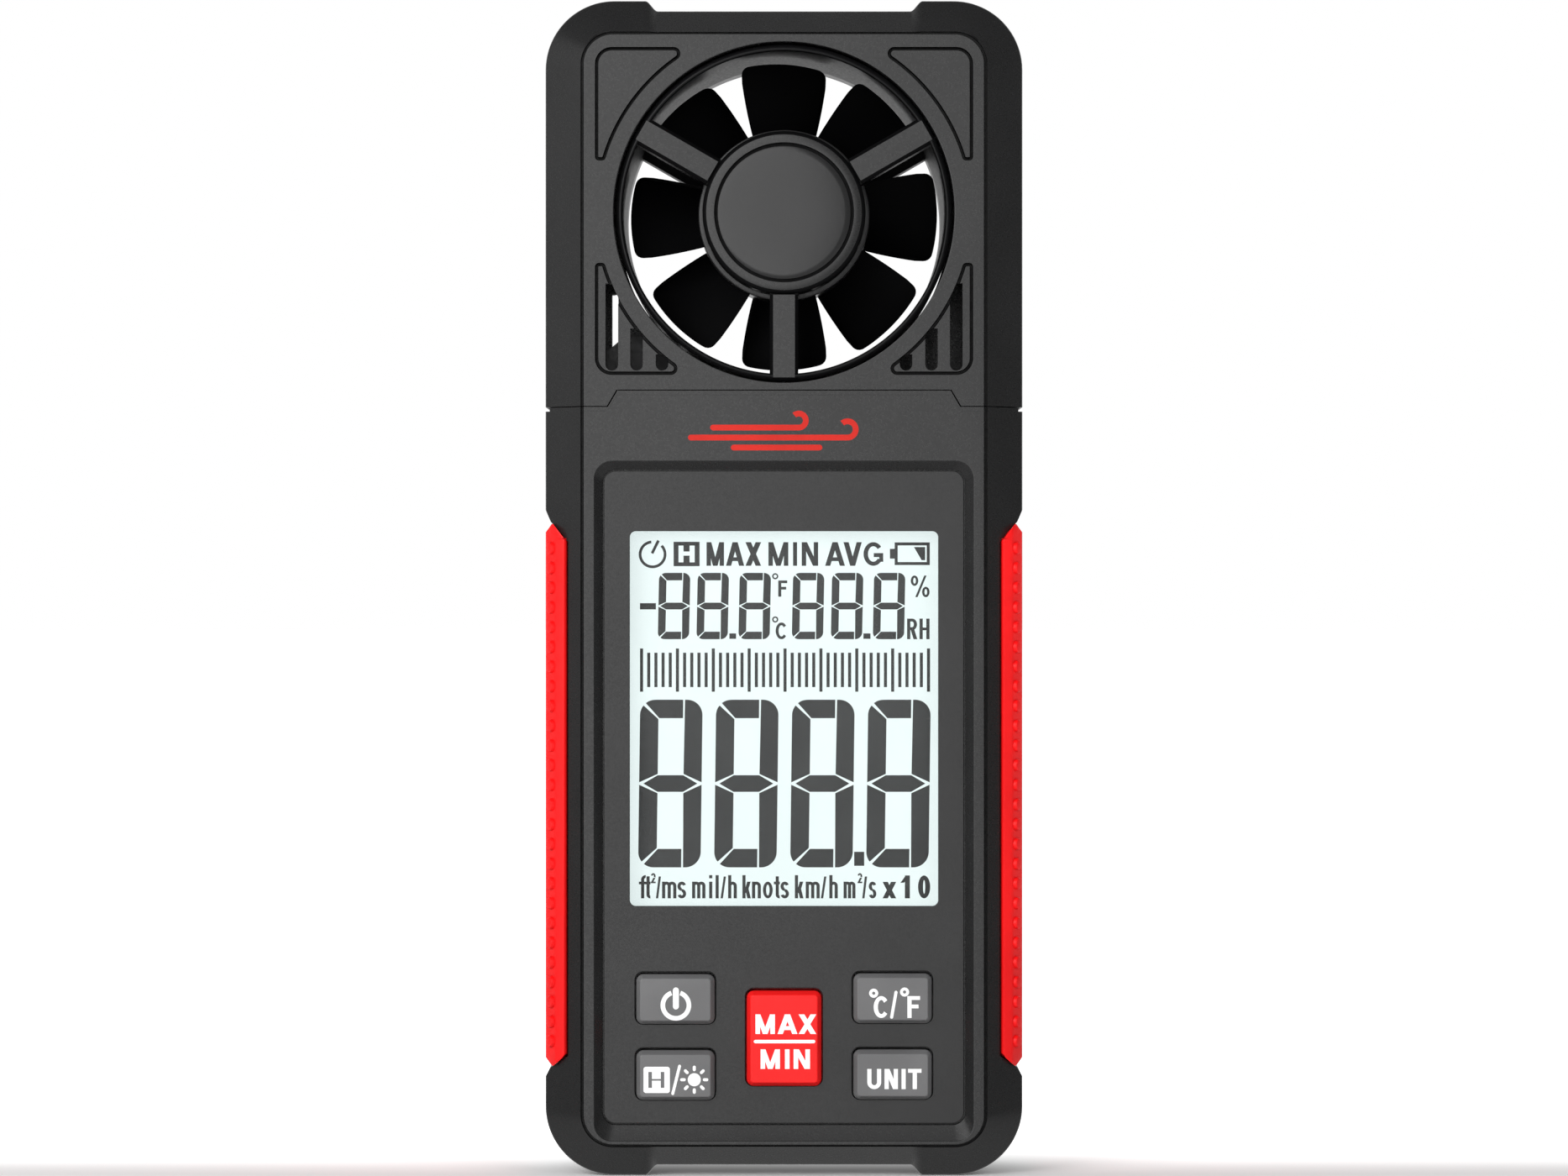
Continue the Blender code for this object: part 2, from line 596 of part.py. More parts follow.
def spoke(name, angle, y0, y1, flat_y):
    """One spoke whose outward face (at flat_y) has bevelled edges, from inside the hub to the ring."""
    half, flat = SPOKE_WIDTH / 2, SPOKE_FACE_WIDTH / 2
    bevel_y = flat_y + (half - flat) * (1 if y1 > flat_y else -1)
    section = [(-flat, flat_y), (flat, flat_y), (half, bevel_y), (half, y1 if y0 == flat_y else y0),
               (-half, y1 if y0 == flat_y else y0), (-half, bevel_y)]
    turn = math.radians(angle)
    along = Vector((math.cos(turn), 0, math.sin(turn)))
    across = Vector((-math.sin(turn), 0, math.cos(turn)))
    middle = Vector((0, 0, VANE_Z))
    rings = []
    for radius in (HUB_R - 1.0, FRAME_R - 0.5):
        rings.append([middle + along * radius + across * x + Vector((0, y, 0)) for x, y in section])
    return loft(name, rings)


def vane_frame(name, side, hub_back, boss_back, colours):
    """Half of the air duct with its spider; side is -1 in front and 1 behind."""
    def along(y):
        return -side * y
    ring = [(LIP_R, along(FRAME_FRONT_Y)), (FRAME_R, along(LIP_Y)), (FRAME_R, along(-HALF_SPLIT)),
            (BORE_R, along(-HALF_SPLIT)), (BORE_R, along(LIP_Y))]
    frame = turned(name, ring, (0, VANE_Z), finish=colours["gloss"])
    for index, angle in enumerate(SPOKE_ANGLES):
        join(frame, spoke(f"{name}_spoke_{index}", angle, along(SPOKE_Y[0]), along(SPOKE_Y[1]),
                          along(SPOKE_Y[0])))
    front, wall = HUB_FRONT_Y, HUB_FRONT_Y + 1.2
    hub = [(0, along(front + 0.9)), (CAP_SEAT_R, along(front + 0.9)), (CAP_SEAT_R, along(front)),
           (HUB_FACE_R, along(front)), (HUB_R, along(front + HUB_BEVEL)), (HUB_R, hub_back),
           (HUB_WALL_R, hub_back), (HUB_WALL_R, along(wall + 0.4)), (BOSS_R, along(wall + 0.4)),
           (BOSS_R, boss_back), (BEARING_R + GAP, boss_back),
           (BEARING_R + GAP, boss_back + side * (BEARING_LENGTH + GAP)),
           (SHAFT_R + GAP + 0.2, boss_back + side * (BEARING_LENGTH + GAP)),
           (SHAFT_R + GAP + 0.2, boss_back + side * (BEARING_LENGTH + 1.1)),
           (0, boss_back + side * (BEARING_LENGTH + 1.1))]
    join(frame, turned(f"{name}_hub", hub, (0, VANE_Z)))
    return frame


def vane(colours):
    front = vane_frame("front_vane_frame", -1, -8.7, -8.9, colours)
    cut(front, box("vane_wire_channel", (-0.9, 0.9), (-11.6, -9.0), (105, VANE_Z - 9)))
    vane_frame("rear_vane_frame", 1, 1.2, 1.6, colours)
    for name, side in (("front_hub_cap", -1), ("rear_hub_cap", 1)):
        outer, rim, inner = side * 13.95, side * 13.7, side * 13.5
        cap = [(0, outer), (CAP_R - 0.25, outer), (CAP_R, rim), (CAP_R, inner), (0, inner)]
        turned(name, cap, (0, VANE_Z), finish=colours["case"])
    for name, start in (("front_bearing", -8.9 - BEARING_LENGTH), ("rear_bearing", 1.6)):
        end = start + BEARING_LENGTH
        ring = [(BEARING_BORE_R, start), (BEARING_R, start), (BEARING_R, end), (BEARING_BORE_R, end)]
        turned(name, ring, (0, VANE_Z), finish=colours["steel"], sides=16)


def blade(name, index):
    """One blade: a thin helical sector, front edge at its anticlockwise side, tip corners rounded."""
    across, along = 6, 3
    centre_angle = math.radians(90 + 360 * index / BLADE_COUNT)
    root_r = ROTOR_HUB_R - 0.5
    front, back = [], []
    for i in range(across + 1):
        u = -1 + 2 * i / across
        tip_half_width = ROTOR_R * math.radians(BLADE_TIP_ANGLE)
        into_corner = max(0.0, abs(u) * tip_half_width - (tip_half_width - BLADE_CORNER_R))
        tip_r = ROTOR_R - BLADE_CORNER_R + math.sqrt(max(0.0, BLADE_CORNER_R ** 2 - into_corner ** 2))
        front_row, back_row = [], []
        for j in range(along + 1):
            v = j / along
            radius = root_r + (tip_r - root_r) * v
            half_angle = math.radians(BLADE_ROOT_ANGLE + (BLADE_TIP_ANGLE - BLADE_ROOT_ANGLE) * v)
            pitch = math.atan2(BLADE_HALF_DEPTH, radius * half_angle)
            for row, side in ((front_row, -1), (back_row, 1)):
                shift = side * BLADE_THICKNESS / 2
                angle = centre_angle - u * half_angle - shift * math.sin(pitch) / radius
                y = BLADE_Y + u * BLADE_HALF_DEPTH + shift * math.cos(pitch)
                row.append((radius * math.cos(angle), y, VANE_Z + radius * math.sin(angle)))
        front.append(front_row)
        back.append(back_row)
    rings = [front_row + list(reversed(back_row)) for front_row, back_row in zip(front, back)]
    return loft(name, rings, origin=(0, 0, VANE_Z))


def rotor(colours):
    pivot = (0, 0, VANE_Z)
    front, back = ROTOR_HUB_Y
    hub = [(BEARING_BORE_R, front + 0.4), (3.4, front + 0.4), (3.4, front + 2.9), (9.4, front + 2.9),
           (9.4, front), (ROTOR_HUB_R - 0.4, front), (ROTOR_HUB_R, front + 0.4), (ROTOR_HUB_R, back),
           (10.4, back), (10.4, front + 4.2), (3.4, front + 4.2), (3.4, back), (BEARING_BORE_R, back)]
    vane_rotor = turned("vane_rotor", hub, (0, VANE_Z), finish=colours["rotor"], origin=pivot)
    for index in range(BLADE_COUNT):
        join(vane_rotor, blade(f"blade_{index}", index))
    magnet = [(3.8, front + 0.5), (6.8, front + 0.5), (6.8, front + 2.5), (3.8, front + 2.5)]
    magnet_ring = turned("rotor_magnet", magnet, (0, VANE_Z), finish=colours["magnet"], sides=20,
                         origin=pivot)
    shaft = [(0, -11.4), (SHAFT_R - 0.25, -11.4), (SHAFT_R, -11.1), (SHAFT_R, 3.8),
             (SHAFT_R - 0.25, 4.1), (0, 4.1)]
    rotor_shaft = turned("rotor_shaft", shaft, (0, VANE_Z), finish=colours["steel"], sides=12,
                         origin=pivot)
    axis = bpy.data.objects.new("rotor_axis", None)
    axis.location = Vector(pivot) * MM
    bpy.context.scene.collection.objects.link(axis)
    for item in (vane_rotor, magnet_ring, rotor_shaft):
        item.parent = axis
        item.location = (0, 0, 0)


# ---------------------------------------------------------------- battery bay

def cell_ends():
    """z of each cell's flat end and of its nub end: the outer two point up and the middle one down."""
    low = TRAY_INSIDE[1] + 2 * GAP + CONTACT + SPRING_LENGTH + GAP
    short_low = TRAY_INSIDE[1] + 2 * GAP + CONTACT + NUB_LENGTH
    return ((low, low + CELL_LENGTH), (short_low + CELL_LENGTH, short_low), (low, low + CELL_LENGTH))


def contact_tails():
    """x and lowest z of the two contacts that run through the tray floor to the board."""
    return {"negative_contact": (-CELL_PITCH, TRAY_INSIDE[1] + GAP),
            "positive_contact": (CELL_PITCH, TRAY_INSIDE[2] - GAP - CONTACT)}


def batteries(colours):
    for index, (flat_end, nub_end) in enumerate(cell_ends()):
        x = CELL_PITCH * (index - 1)
        up = 1 if nub_end > flat_end else -1
        profile = [(0, flat_end), (CELL_R - 0.5, flat_end), (CELL_R, flat_end + up * 0.5),
                   (CELL_R, nub_end - up * 0.5), (CELL_R - 0.5, nub_end), (NUB_R, nub_end),
                   (NUB_R, nub_end + up * NUB_LENGTH), (0, nub_end + up * NUB_LENGTH)]
        turned(f"battery_{index + 1}", profile, (x, CELL_Y), "Z", colours["cell"], 20)


def spring(name, x, z0, z1, colours):
    """Tapered wire coil between a contact strip and a cell's flat end."""
    steps, sides, wire = 10, 5, SPRING_WIRE_R
    count = int(SPRING_TURNS * steps)
    inward = math.copysign(wire, z1 - z0)
    rings = []
    for i in range(count + 1):
        t = i / count
        angle = 2 * math.pi * SPRING_TURNS * t
        coil = SPRING_COIL_R[0] + (SPRING_COIL_R[1] - SPRING_COIL_R[0]) * t
        z = z0 + (z1 - z0) * t + inward * (1 - 2 * t)
        outward = Vector((math.cos(angle), math.sin(angle), 0))
        middle = Vector((x, CELL_Y, z)) + outward * coil
        rings.append([middle + outward * wire * math.cos(a) + Vector((0, 0, wire * math.sin(a)))
                      for a in [2 * math.pi * k / sides for k in range(sides)]])
    loft(name, rings, colours["nickel"])


def contacts(colours):
    low_z = TRAY_INSIDE[1] + GAP
    high_z = TRAY_INSIDE[2] - GAP - CONTACT
    metal = colours["nickel"]
    half, near, far = 4.4, 2.4, 11.0
    for name, (x, z) in contact_tails().items():
        outline = [(x - half, near), (x - 1.2, near), (x - 1.2, BOARD_Y[1] + GAP),
                   (x + 1.2, BOARD_Y[1] + GAP), (x + 1.2, near), (x + half, near),
                   (x + half, far), (x - half, far)]
        prism_z(name, outline, z, z + CONTACT, metal)
    box("lower_contact_link", (-half, CELL_PITCH + half), (near, far), (low_z, low_z + CONTACT), metal)
    box("upper_contact_link", (-CELL_PITCH - half, half), (near, far), (high_z, high_z + CONTACT), metal)
    for index, (flat_end, nub_end) in enumerate(cell_ends()):
        x = CELL_PITCH * (index - 1)
        if nub_end > flat_end:
            z0, z1 = low_z + CONTACT + GAP, flat_end - GAP
        else:
            z0, z1 = high_z - GAP, flat_end + GAP
        spring(f"battery_spring_{index + 1}", x, z0, z1, colours)


def battery_door(colours):
    """Door whose rounded lower edge rolls about its hinge line on two lugs under the rear wall."""
    half, low, high = DOOR
    axis_y, axis_z = DOOR_AXIS
    heel = arc(axis_y, axis_z, DOOR_HEEL_R, 0, -160, 6)
    section = [(DOOR_Y[1], high), *heel, (DOOR_Y[0], axis_z + 0.6), (DOOR_Y[0], high)]
    rings = [[(x, y, z) for y, z in section] for x in (-half, half)]
    door = loft("battery_door", rings, colours["case"], origin=(0, axis_y, axis_z))
    for index, x in enumerate((-12.0, 12.0)):
        lug = [(12.0, axis_z + 1.2), (13.2, axis_z + 1.2), (13.2, axis_z - 0.6), (12.2, axis_z - 0.9),
               (12.2, axis_z - 3.0), (11.0, axis_z - 3.0), (11.0, axis_z)]
        sides = [[(px, y, z) for y, z in lug] for px in (x - 2, x + 2)]
        join(door, loft(f"door_lug_{index}", sides))


# ---------------------------------------------------------------- screws

def screws(colours):
    steel = colours["steel"]
    for name, (x, z) in {**BODY_SCREWS, **HEAD_SCREWS}.items():
        seat = SCREW_SEAT_Y + GAP
        top = seat + SCREW_HEAD_HEIGHT
        profile = [(0, SCREW_TIP_Y), (0.4, SCREW_TIP_Y), (SCREW_R, SCREW_TIP_Y + 1.2), (SCREW_R, seat),
                   (SCREW_HEAD_R, seat), (SCREW_HEAD_R, top - 0.3), (SCREW_DRIVE_R, top),
                   (SCREW_DRIVE_R, top - SCREW_DRIVE_DEPTH), (0, top - SCREW_DRIVE_DEPTH)]
        turned(name, profile, (x, z), finish=steel, sides=SMALL_ROUND)
    for name, x in NECK_SCREWS.items():
        seat = BODY_CAVITY_BACK[2] - GAP
        head, tip = seat - SCREW_HEAD_HEIGHT, seat + NECK_SCREW_LENGTH
        profile = [(0, head), (SCREW_HEAD_R, head), (SCREW_HEAD_R, seat), (SCREW_R, seat),
                   (SCREW_R, tip - 1.1), (0.4, tip), (0, tip)]
        turned(name, profile, (x, NECK_SCREW_Y), "Z", steel, SMALL_ROUND)


def main():
    clear_scene()
    colours = palette()
    head_covers(colours)
    body_front_shell(colours)
    body_rear_shell(colours)
    grips(colours)
    faceplate(colours)
    keys(colours)
    keypad(colours)
    display(colours)
    electronics(colours)
    vane(colours)
    rotor(colours)
    batteries(colours)
    contacts(colours)
    battery_door(colours)
    screws(colours)


main()
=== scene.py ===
"""Looks of the handheld weather meter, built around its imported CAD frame.

The meter stands upright: +Z runs up its length, +X to the right of someone who reads the display,
and the display faces -Y. Shapes are drawn in millimetres, and MM turns them into Blender's metres.
"""
import math

import bmesh
import bpy
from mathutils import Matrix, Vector


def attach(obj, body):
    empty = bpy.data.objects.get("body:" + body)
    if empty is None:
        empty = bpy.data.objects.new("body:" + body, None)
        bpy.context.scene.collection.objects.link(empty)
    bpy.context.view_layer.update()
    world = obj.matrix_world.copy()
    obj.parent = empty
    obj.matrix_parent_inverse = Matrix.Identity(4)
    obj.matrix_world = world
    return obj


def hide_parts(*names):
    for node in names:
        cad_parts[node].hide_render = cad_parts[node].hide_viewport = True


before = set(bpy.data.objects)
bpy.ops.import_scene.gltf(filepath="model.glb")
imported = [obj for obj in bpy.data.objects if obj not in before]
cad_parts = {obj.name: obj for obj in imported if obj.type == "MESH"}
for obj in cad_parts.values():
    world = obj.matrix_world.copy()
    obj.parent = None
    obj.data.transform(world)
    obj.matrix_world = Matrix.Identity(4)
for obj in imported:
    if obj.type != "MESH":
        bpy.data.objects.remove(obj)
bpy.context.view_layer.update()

MM = 0.001
CASE = "case"                  # the body that the case and everything fixed to it ride on

# ---------------------------------------------------------------- sizes, in millimetres

# Case outline: half width, lowest z, highest z, corner radius, set-back between the bumpers
FACE_OUTLINE = (27.2, 4.6, 155.0, 4.1, 0.0)
FULL_OUTLINE = (32.5, 0.0, 160.0, 9.4, 1.4)
BUMPER_EDGE = 18.9
BUMPER_FOOT = 17.2
BUMPER_STEPS = 12
FACE_Y = 14.5                  # how far the front and rear faces lie from the middle
BEYOND_Y = 16.0                # and how far out the tools that cut those faces reach
# Front-to-back profile of half the case: share of the way from the face outline to the full one, |y|
CASE_PROFILE = (
    (-0.040, 14.5), (-0.022, 14.47), (-0.010, 14.36), (-0.006, 14.1), (-0.002, 13.72),
    (0.048, 13.72), (0.054, 14.1), (0.066, 14.17), (0.10, 14.0), (0.5, 12.0), (0.94, 9.8),
    (0.972, 9.62), (0.991, 9.42), (1.0, 9.1), (1.0, 0.30), (0.9985, 0.12), (0.994, 0.0),
)
# the walls and floor of this fine line get the darker recess finish, which is painted shade
GUTTER_Y = (13.6, 14.05)       # depths of the walls of the fine line round each face
SEAM_PATH = ((63.9, 104.56), (23.9, 104.56), (22.6, 106.77))
SEAM_GAP = 0.13
REBATE_DROP = 0.62             # the fine line that follows the seam on the body
REBATE_WIDTH = 0.09
REBATE_DEPTH = 0.06
NOTCH_X = 31.9                 # side notch under the seam
NOTCH_Z = (104.02, 104.62)

BODY_CAVITY = ((25.3, 5.8, 101.8, 2.0), (29.0, 3.6, 101.8, 1.5))
HEAD_CAVITY = ((26.2, 108.4, 153.4, 3.0), (30.3, 108.4, 156.4, 7.0))
FRONT_BODY_Y = (-11.0, -8.0, 1.0)
REAR_BODY_Y = (12.5, 9.0, -1.0)
FRONT_HEAD_Y = (-12.3, -9.0, 1.0)
REAR_HEAD_Y = (12.3, 9.0, -1.0)

RECESS_MOUTH = (25.6, 5.2, 97.1, 2.4)
RECESS_FLOOR = (24.62, 7.23, 96.07, 1.8)
PLATE = (24.38, 7.47, 95.83, 1.55)
PLATE_Y = (-13.4, -12.6)
LEDGE_Y = -12.3
WINDOW = (20.9, 36.9, 87.7, 0.8)
LENS = (22.0, 35.9, 88.7, 1.0)
LENS_Y = (-12.3, -11.3)
LCD = (23.0, 33.5, 91.1, 0.5)
LCD_Y = (-10.7, -8.9)

KEY_CLEARANCE = 0.2
KEY_RADIUS = 1.15
KEY_TOP_Y = -14.5
KEY_SHOULDER_Y = -13.45
KEY_BEVEL = 0.56
KEY_DROP = 0.15                # how far a key hangs below the middle of its well
KEY_FLANGE = 0.8
KEY_FLANGE_Y = (-10.7, -9.9)
SMALL_KEY = (11.0, 7.15)
LARGE_KEY = (10.5, 13.3)
KEYS = {
    "power_button": (-14.7, 24.3, SMALL_KEY, "power_key"),
    "hold_light_button": (-14.7, 14.0, SMALL_KEY, "hold_light_key"),
    "temperature_unit_button": (14.7, 24.4, SMALL_KEY, "temperature_unit_key"),
    "unit_button": (14.7, 14.1, SMALL_KEY, "unit_key"),
    "max_min_button": (0.0, 19.0, LARGE_KEY, "max_min_key"),
}

VANE_Z = 130.85
FACE_HOLE_R = 23.05
FRAME_R = 22.78
BORE_R = 21.85
LIP_R = 22.16
DUCT_GLOSS_Y = 9.0
HUB_R = 11.05
HUB_FACE_R = 10.53
CAP_SEAT_R = 9.43
CAP_R = 9.03
CAP_CROWN = 0.2
HUB_FRONT_Y = 14.1
SPOKE_ANGLES = (30, 150, 270)
SPOKE_WIDTH = 3.86
SPOKE_FACE = 2.94
SPOKE_Y = (14.0, 9.7)
ROTOR_R = 21.0
ROTOR_HUB_R = 11.7
ROTOR_HUB_Y = (-8.2, 0.6)
BLADE_COUNT = 8
BLADE_Y = -4.2
BLADE_HALF_DEPTH = 3.1
BLADE_ROOT_ANGLE = 20.7
BLADE_TIP_ANGLE = 16.6
BLADE_THICKNESS = 0.9
BLADE_CORNER_R = 1.3

# Corner triangles round the duct, each outlined by a groove; their arc sides share the duct's axis
GROOVE_WIDTH = 0.5
GROOVE_DEPTH = 1.2
GROOVE_PULL = 0.2              # share of the width by which each wall leans in at the floor
TRIANGLE_X = 25.6
TRIANGLE_ARC_R = 25.2
TRIANGLE_CORNER_R = 2.3
TRIANGLE_FOOT_R = 0.56           # the two small corners of its narrow end
UPPER_TRIANGLE = (153.2, 137.8, 14.0)    # z of its long side, z of its end, inner |x|
LOWER_TRIANGLE = (108.8, 124.0, 14.4)
VENT_SLOTS = ((22.44, 24.16, 121.2), (19.1, 20.8, 115.1), (15.65, 17.35, 111.6))
VENT_FOOT_Z = 109.4
VENT_Y = 8.0                   # how deep the slots go
BLIND_VENT_Y = 13.3            # and the blind ones, at the right of the rear

GRIP_Z = (14.9, 88.9)
GRIP_ROWS = 26
GRIP_BUMP_PITCH = 2.68
GRIP_BUMP_R = 0.86
GRIP_BUMP_QUADS = 4            # quads along each side of a bump's cell
GRIP_BUMP_RISE = (0.5, 0.2)     # height of a bump on the slanted facets, and on the side
GRIP_HALF = ((29.4, -12.05), (29.68, -12.5), (29.86, -12.58), (30.9, -12.14), (32.3, -10.07),
             (32.46, -9.75), (32.46, -9.3), (32.26, -8.95))
GRIP_OUTER = GRIP_HALF + tuple((x, -y) for x, y in reversed(GRIP_HALF))
GRIP_INNER = ((29.4, 11.2), (31.0, 9.3), (31.0, -9.3), (29.4, -11.2))
GRIP_COLUMNS = {3: 1, 7: 6, 11: 1}       # columns of bumps on each edge of the outer section
GRIP_LONGEST_X = 31.75
GRIP_END_X = (29.4, 32.45)     # where the ends are drawn back by the whole of these drops
GRIP_END_DROPS = ((1.63, 0.75), (2.26, 0.85))     # of the low and the high end, inside and outside
GRIP_END_CHAMFER = 0.45
POCKET = ((29.28, -13.5), (34.0, -13.5), (34.0, 13.5), (29.28, 13.5),
          (29.28, 11.15), (30.88, 9.25), (30.88, -9.25), (29.28, -11.15))

TRAY = (21.0, -0.6, 13.0, 17.5, 78.0)    # half width, y, y, z, z
TRAY_INSIDE = (17.9, 0.9, 20.0, 19.0, 72.3)
DOOR = (19.2, 14.6, 76.2)
DOOR_Y = (12.7, 14.5)
DOOR_AXIS = (13.2, 15.9)
PAD = (66.5, 9.0, 5.0)         # finger pad on the door: its middle z, half width and half height
PAD_PITCH = 1.65
PAD_BAR_Y = 13.8
CONTACT_TAILS = ((-11.2, 19.3), (11.2, 71.6))

BODY_SCREWS = {"body_screw_1": (-23.0, 8.8), "body_screw_2": (23.0, 8.8),
               "body_screw_3": (-23.0, 96.4), "body_screw_4": (23.0, 96.4)}
HEAD_SCREWS = {"head_screw_1": (-22.5, 150.2), "head_screw_2": (22.5, 150.2)}
BOSS_R = 2.7
SCREW_HOLE_R = 1.4
SCREW_HEAD_R = 1.9
SCREW_SEAT_Y = 7.8

SUN = (-12.14, 13.49)          # sign for the light, on its key
SUN_R = 0.886
SUN_RAY_R = (1.36, 1.70)
BOW_STEPS = 28
PRINT_RISE = 0.02
PRINT_STEP = 0.0006            # how much higher each overlapping stroke of a print is
MARK_Y = -14.495
MARK_STROKE = 0.78
MARK_STREAKS = ((101.7, -9.6, 2.0, 0.95), (100.35, -12.6, 8.6, 1.1), (99.0, -6.8, 4.8, 0.0))

# Camera: level with the middle of the meter, straight in front of it
CAMERA_Y = -704.5
CAMERA_Z = 80.0
LENS_MM = 117.1
SENSOR_MM = 36.0
# Lights: name, position, target, width and height, watts, and whether reflections show it
MIDDLE = (0, 0, 80)
LIGHTS = (("front_panel", (-505, -1100, 440), (-300, 0, 300), (1290, 1400), 11.4, True),
          ("left_key", (-740, -880, 560), MIDDLE, (700, 700), 8.0, False),
          ("right_key", (740, -880, 560), MIDDLE, (700, 700), 5.0, False),
          ("left_strip", (-1000, -50, 420), MIDDLE, (700, 700), 0.75, True))
WORLD_BEHIND = (0.4, 0.85)            # directions, as Y, over which the surroundings brighten
WORLD_BELOW = (0.0, -0.3)             # and as Z
WORLD_GLOW = (0.1, 1.0)               # how much light the surroundings give, in front and behind
LOW_GLOW = 0.42                       # and from below, which only reflections reach
FLOOR_GLOW = (0.05, 1.0)              # how much the table glows, near the meter and away from it
FLOOR_RISE = (-10 * MM, 32 * MM)      # where the glow rises behind the meter
FLOOR_FAR = (50 * MM, 550 * MM)       # and how far away it rises all round
FLOOR_Z = -0.02 * MM
FLOOR_RADIUS = 9000.0
FLOOR_RINGS = 14
FLOOR_SIDES = 96


# ---------------------------------------------------------------- materials

def node(tree, kind, links=None, **values):
    """Adds a node, links sources to its sockets and sets others; an underscore stands for a space."""
    made = tree.nodes.new("ShaderNode" + kind)
    for socket, source in (links or {}).items():
        tree.links.new(source, made.inputs[socket])
    for socket, value in values.items():
        made.inputs[socket.replace("_", " ")].default_value = value
    return made


def coordinates(tree, kind="Object"):
    return node(tree, "TexCoord").outputs[kind]


def noise(tree, scale, detail=2.0, stretch=(1, 1, 1)):
    """Noise over the object's own coordinates, whose unit is the metre."""
    mapped = node(tree, "Mapping", {"Vector": coordinates(tree)}, Scale=stretch)
    return node(tree, "TexNoise", {"Vector": mapped.outputs["Vector"]}, Scale=scale,
                Detail=detail).outputs["Fac"]


def ramp(tree, source, stops):
    made = node(tree, "ValToRGB", {"Fac": source})
    ends = made.color_ramp.elements
    for _ in stops[2:]:
        ends.new(0.5)
    for element, (position, colour) in zip(ends, stops):
        element.position = position
        element.color = (*colour, 1.0)
    return made.outputs["Color"]


def map_range(tree, source, start, end, low=0.0, high=1.0, smooth=False):
    """low to high as the source goes from start to end."""
    made = node(tree, "MapRange", {"Value": source}, From_Min=start, From_Max=end, To_Min=low, To_Max=high)
    if smooth:
        made.interpolation_type = "SMOOTHSTEP"
    return made.outputs["Result"]


def gradient(tree, axis, start, end, kind="Generated", high=1.0, low=0.0, smooth=False):
    """low to high as one coordinate goes from start to end."""
    split = node(tree, "SeparateXYZ", {"Vector": coordinates(tree, kind)})
    return map_range(tree, split.outputs[axis], start, end, low, high, smooth)


def larger(tree, first, second):
    made = node(tree, "Math", {0: first, 1: second})
    made.operation = "MAXIMUM"
    return made.outputs["Value"]


def varied(tree, source, low, high):
    """low to high over the middle part of a noise."""
    return map_range(tree, source, 0.3, 0.7, low, high)


def bump(tree, source, height):
    """Relief of a height in millimetres."""
    made = node(tree, "Bump", {"Height": source}, Strength=1.0, Distance=height * MM)
    return made.outputs["Normal"]


def new_material(name):
    """A material with its node tree and its shader."""
    made = bpy.data.materials.new(name)
    made.use_nodes = True
    return made, made.node_tree, made.node_tree.nodes["Principled BSDF"]


def feed(tree, shader, **sources):
    """Links sources to sockets of the shader; an underscore stands for a space."""
    for socket, source in sources.items():
        tree.links.new(source, shader.inputs[socket.replace("_", " ")])


def material(name, colour, roughness, spread=0.08, patch=90, grain=2600, height=0.004,
             stretch=(1, 1, 1), gloss_spread=0.06, metallic=0.0, specular=0.5, glow=0.0, alpha=1.0,
             second=None):
    """A finish whose colour drifts over broad patches and whose gloss and relief vary finely.

    grain is the fine texture's scale per metre, height its relief in millimetres, and second an
    optional other colour for the far end of the drift.
    """
    made, tree, shader = new_material(name)
    for socket, value in (("Metallic", metallic), ("Specular IOR Level", specular), ("Alpha", alpha),
                          ("Emission Strength", glow)):
        shader.inputs[socket].default_value = value
    fine = noise(tree, grain, stretch=stretch)
    low = tuple(c * (1 - spread) for c in colour)
    high = second or tuple(min(1.0, c * (1 + spread)) for c in colour)
    tint = ramp(tree, noise(tree, patch, 3.0, stretch), ((0.35, low), (0.65, high)))
    feed(tree, shader, Base_Color=tint,
         Roughness=varied(tree, fine, roughness - gloss_spread, roughness + gloss_spread))
    if height:
        feed(tree, shader, Normal=bump(tree, fine, height))
    if glow:
        feed(tree, shader, Emission_Color=tint)
    return made


def board_material():
    """Solder mask with copper tracks running under it and small round pads."""
    made, tree, shader = new_material("circuit_board")
    tracks = node(tree, "TexVoronoi", {"Vector": coordinates(tree)}, Scale=420.0)
    tracks.distance = "MANHATTAN"
    spacing = tracks.outputs["Distance"]
    tint = ramp(tree, spacing, ((0.10, (0.36, 0.33, 0.12)), (0.14, (0.012, 0.11, 0.045)),
                                (0.60, (0.016, 0.15, 0.06)), (0.66, (0.03, 0.24, 0.09))))
    feed(tree, shader, Base_Color=tint, Roughness=varied(tree, noise(tree, 900), 0.3, 0.42),
         Normal=bump(tree, spacing, 0.02))
    return made


def cell_material(name, flat_end, nub_end):
    """Sleeve of a battery: dark from its flat end, coppery towards its nub, with a fine sheen."""
    made, tree, shader = new_material(name)
    height = gradient(tree, "Z", flat_end * MM, nub_end * MM, "Object")
    tint = ramp(tree, height, ((0.0, (0.5, 0.5, 0.5)), (0.10, (0.03, 0.035, 0.05)),
                               (0.70, (0.02, 0.024, 0.036)), (0.72, (0.55, 0.26, 0.10))))
    shader.inputs["Metallic"].default_value = 0.35
    fine = noise(tree, 1500, stretch=(1, 1, 0.1))
    feed(tree, shader, Base_Color=tint, Roughness=varied(tree, fine, 0.24, 0.36),
         Normal=bump(tree, fine, 0.004))
    return made


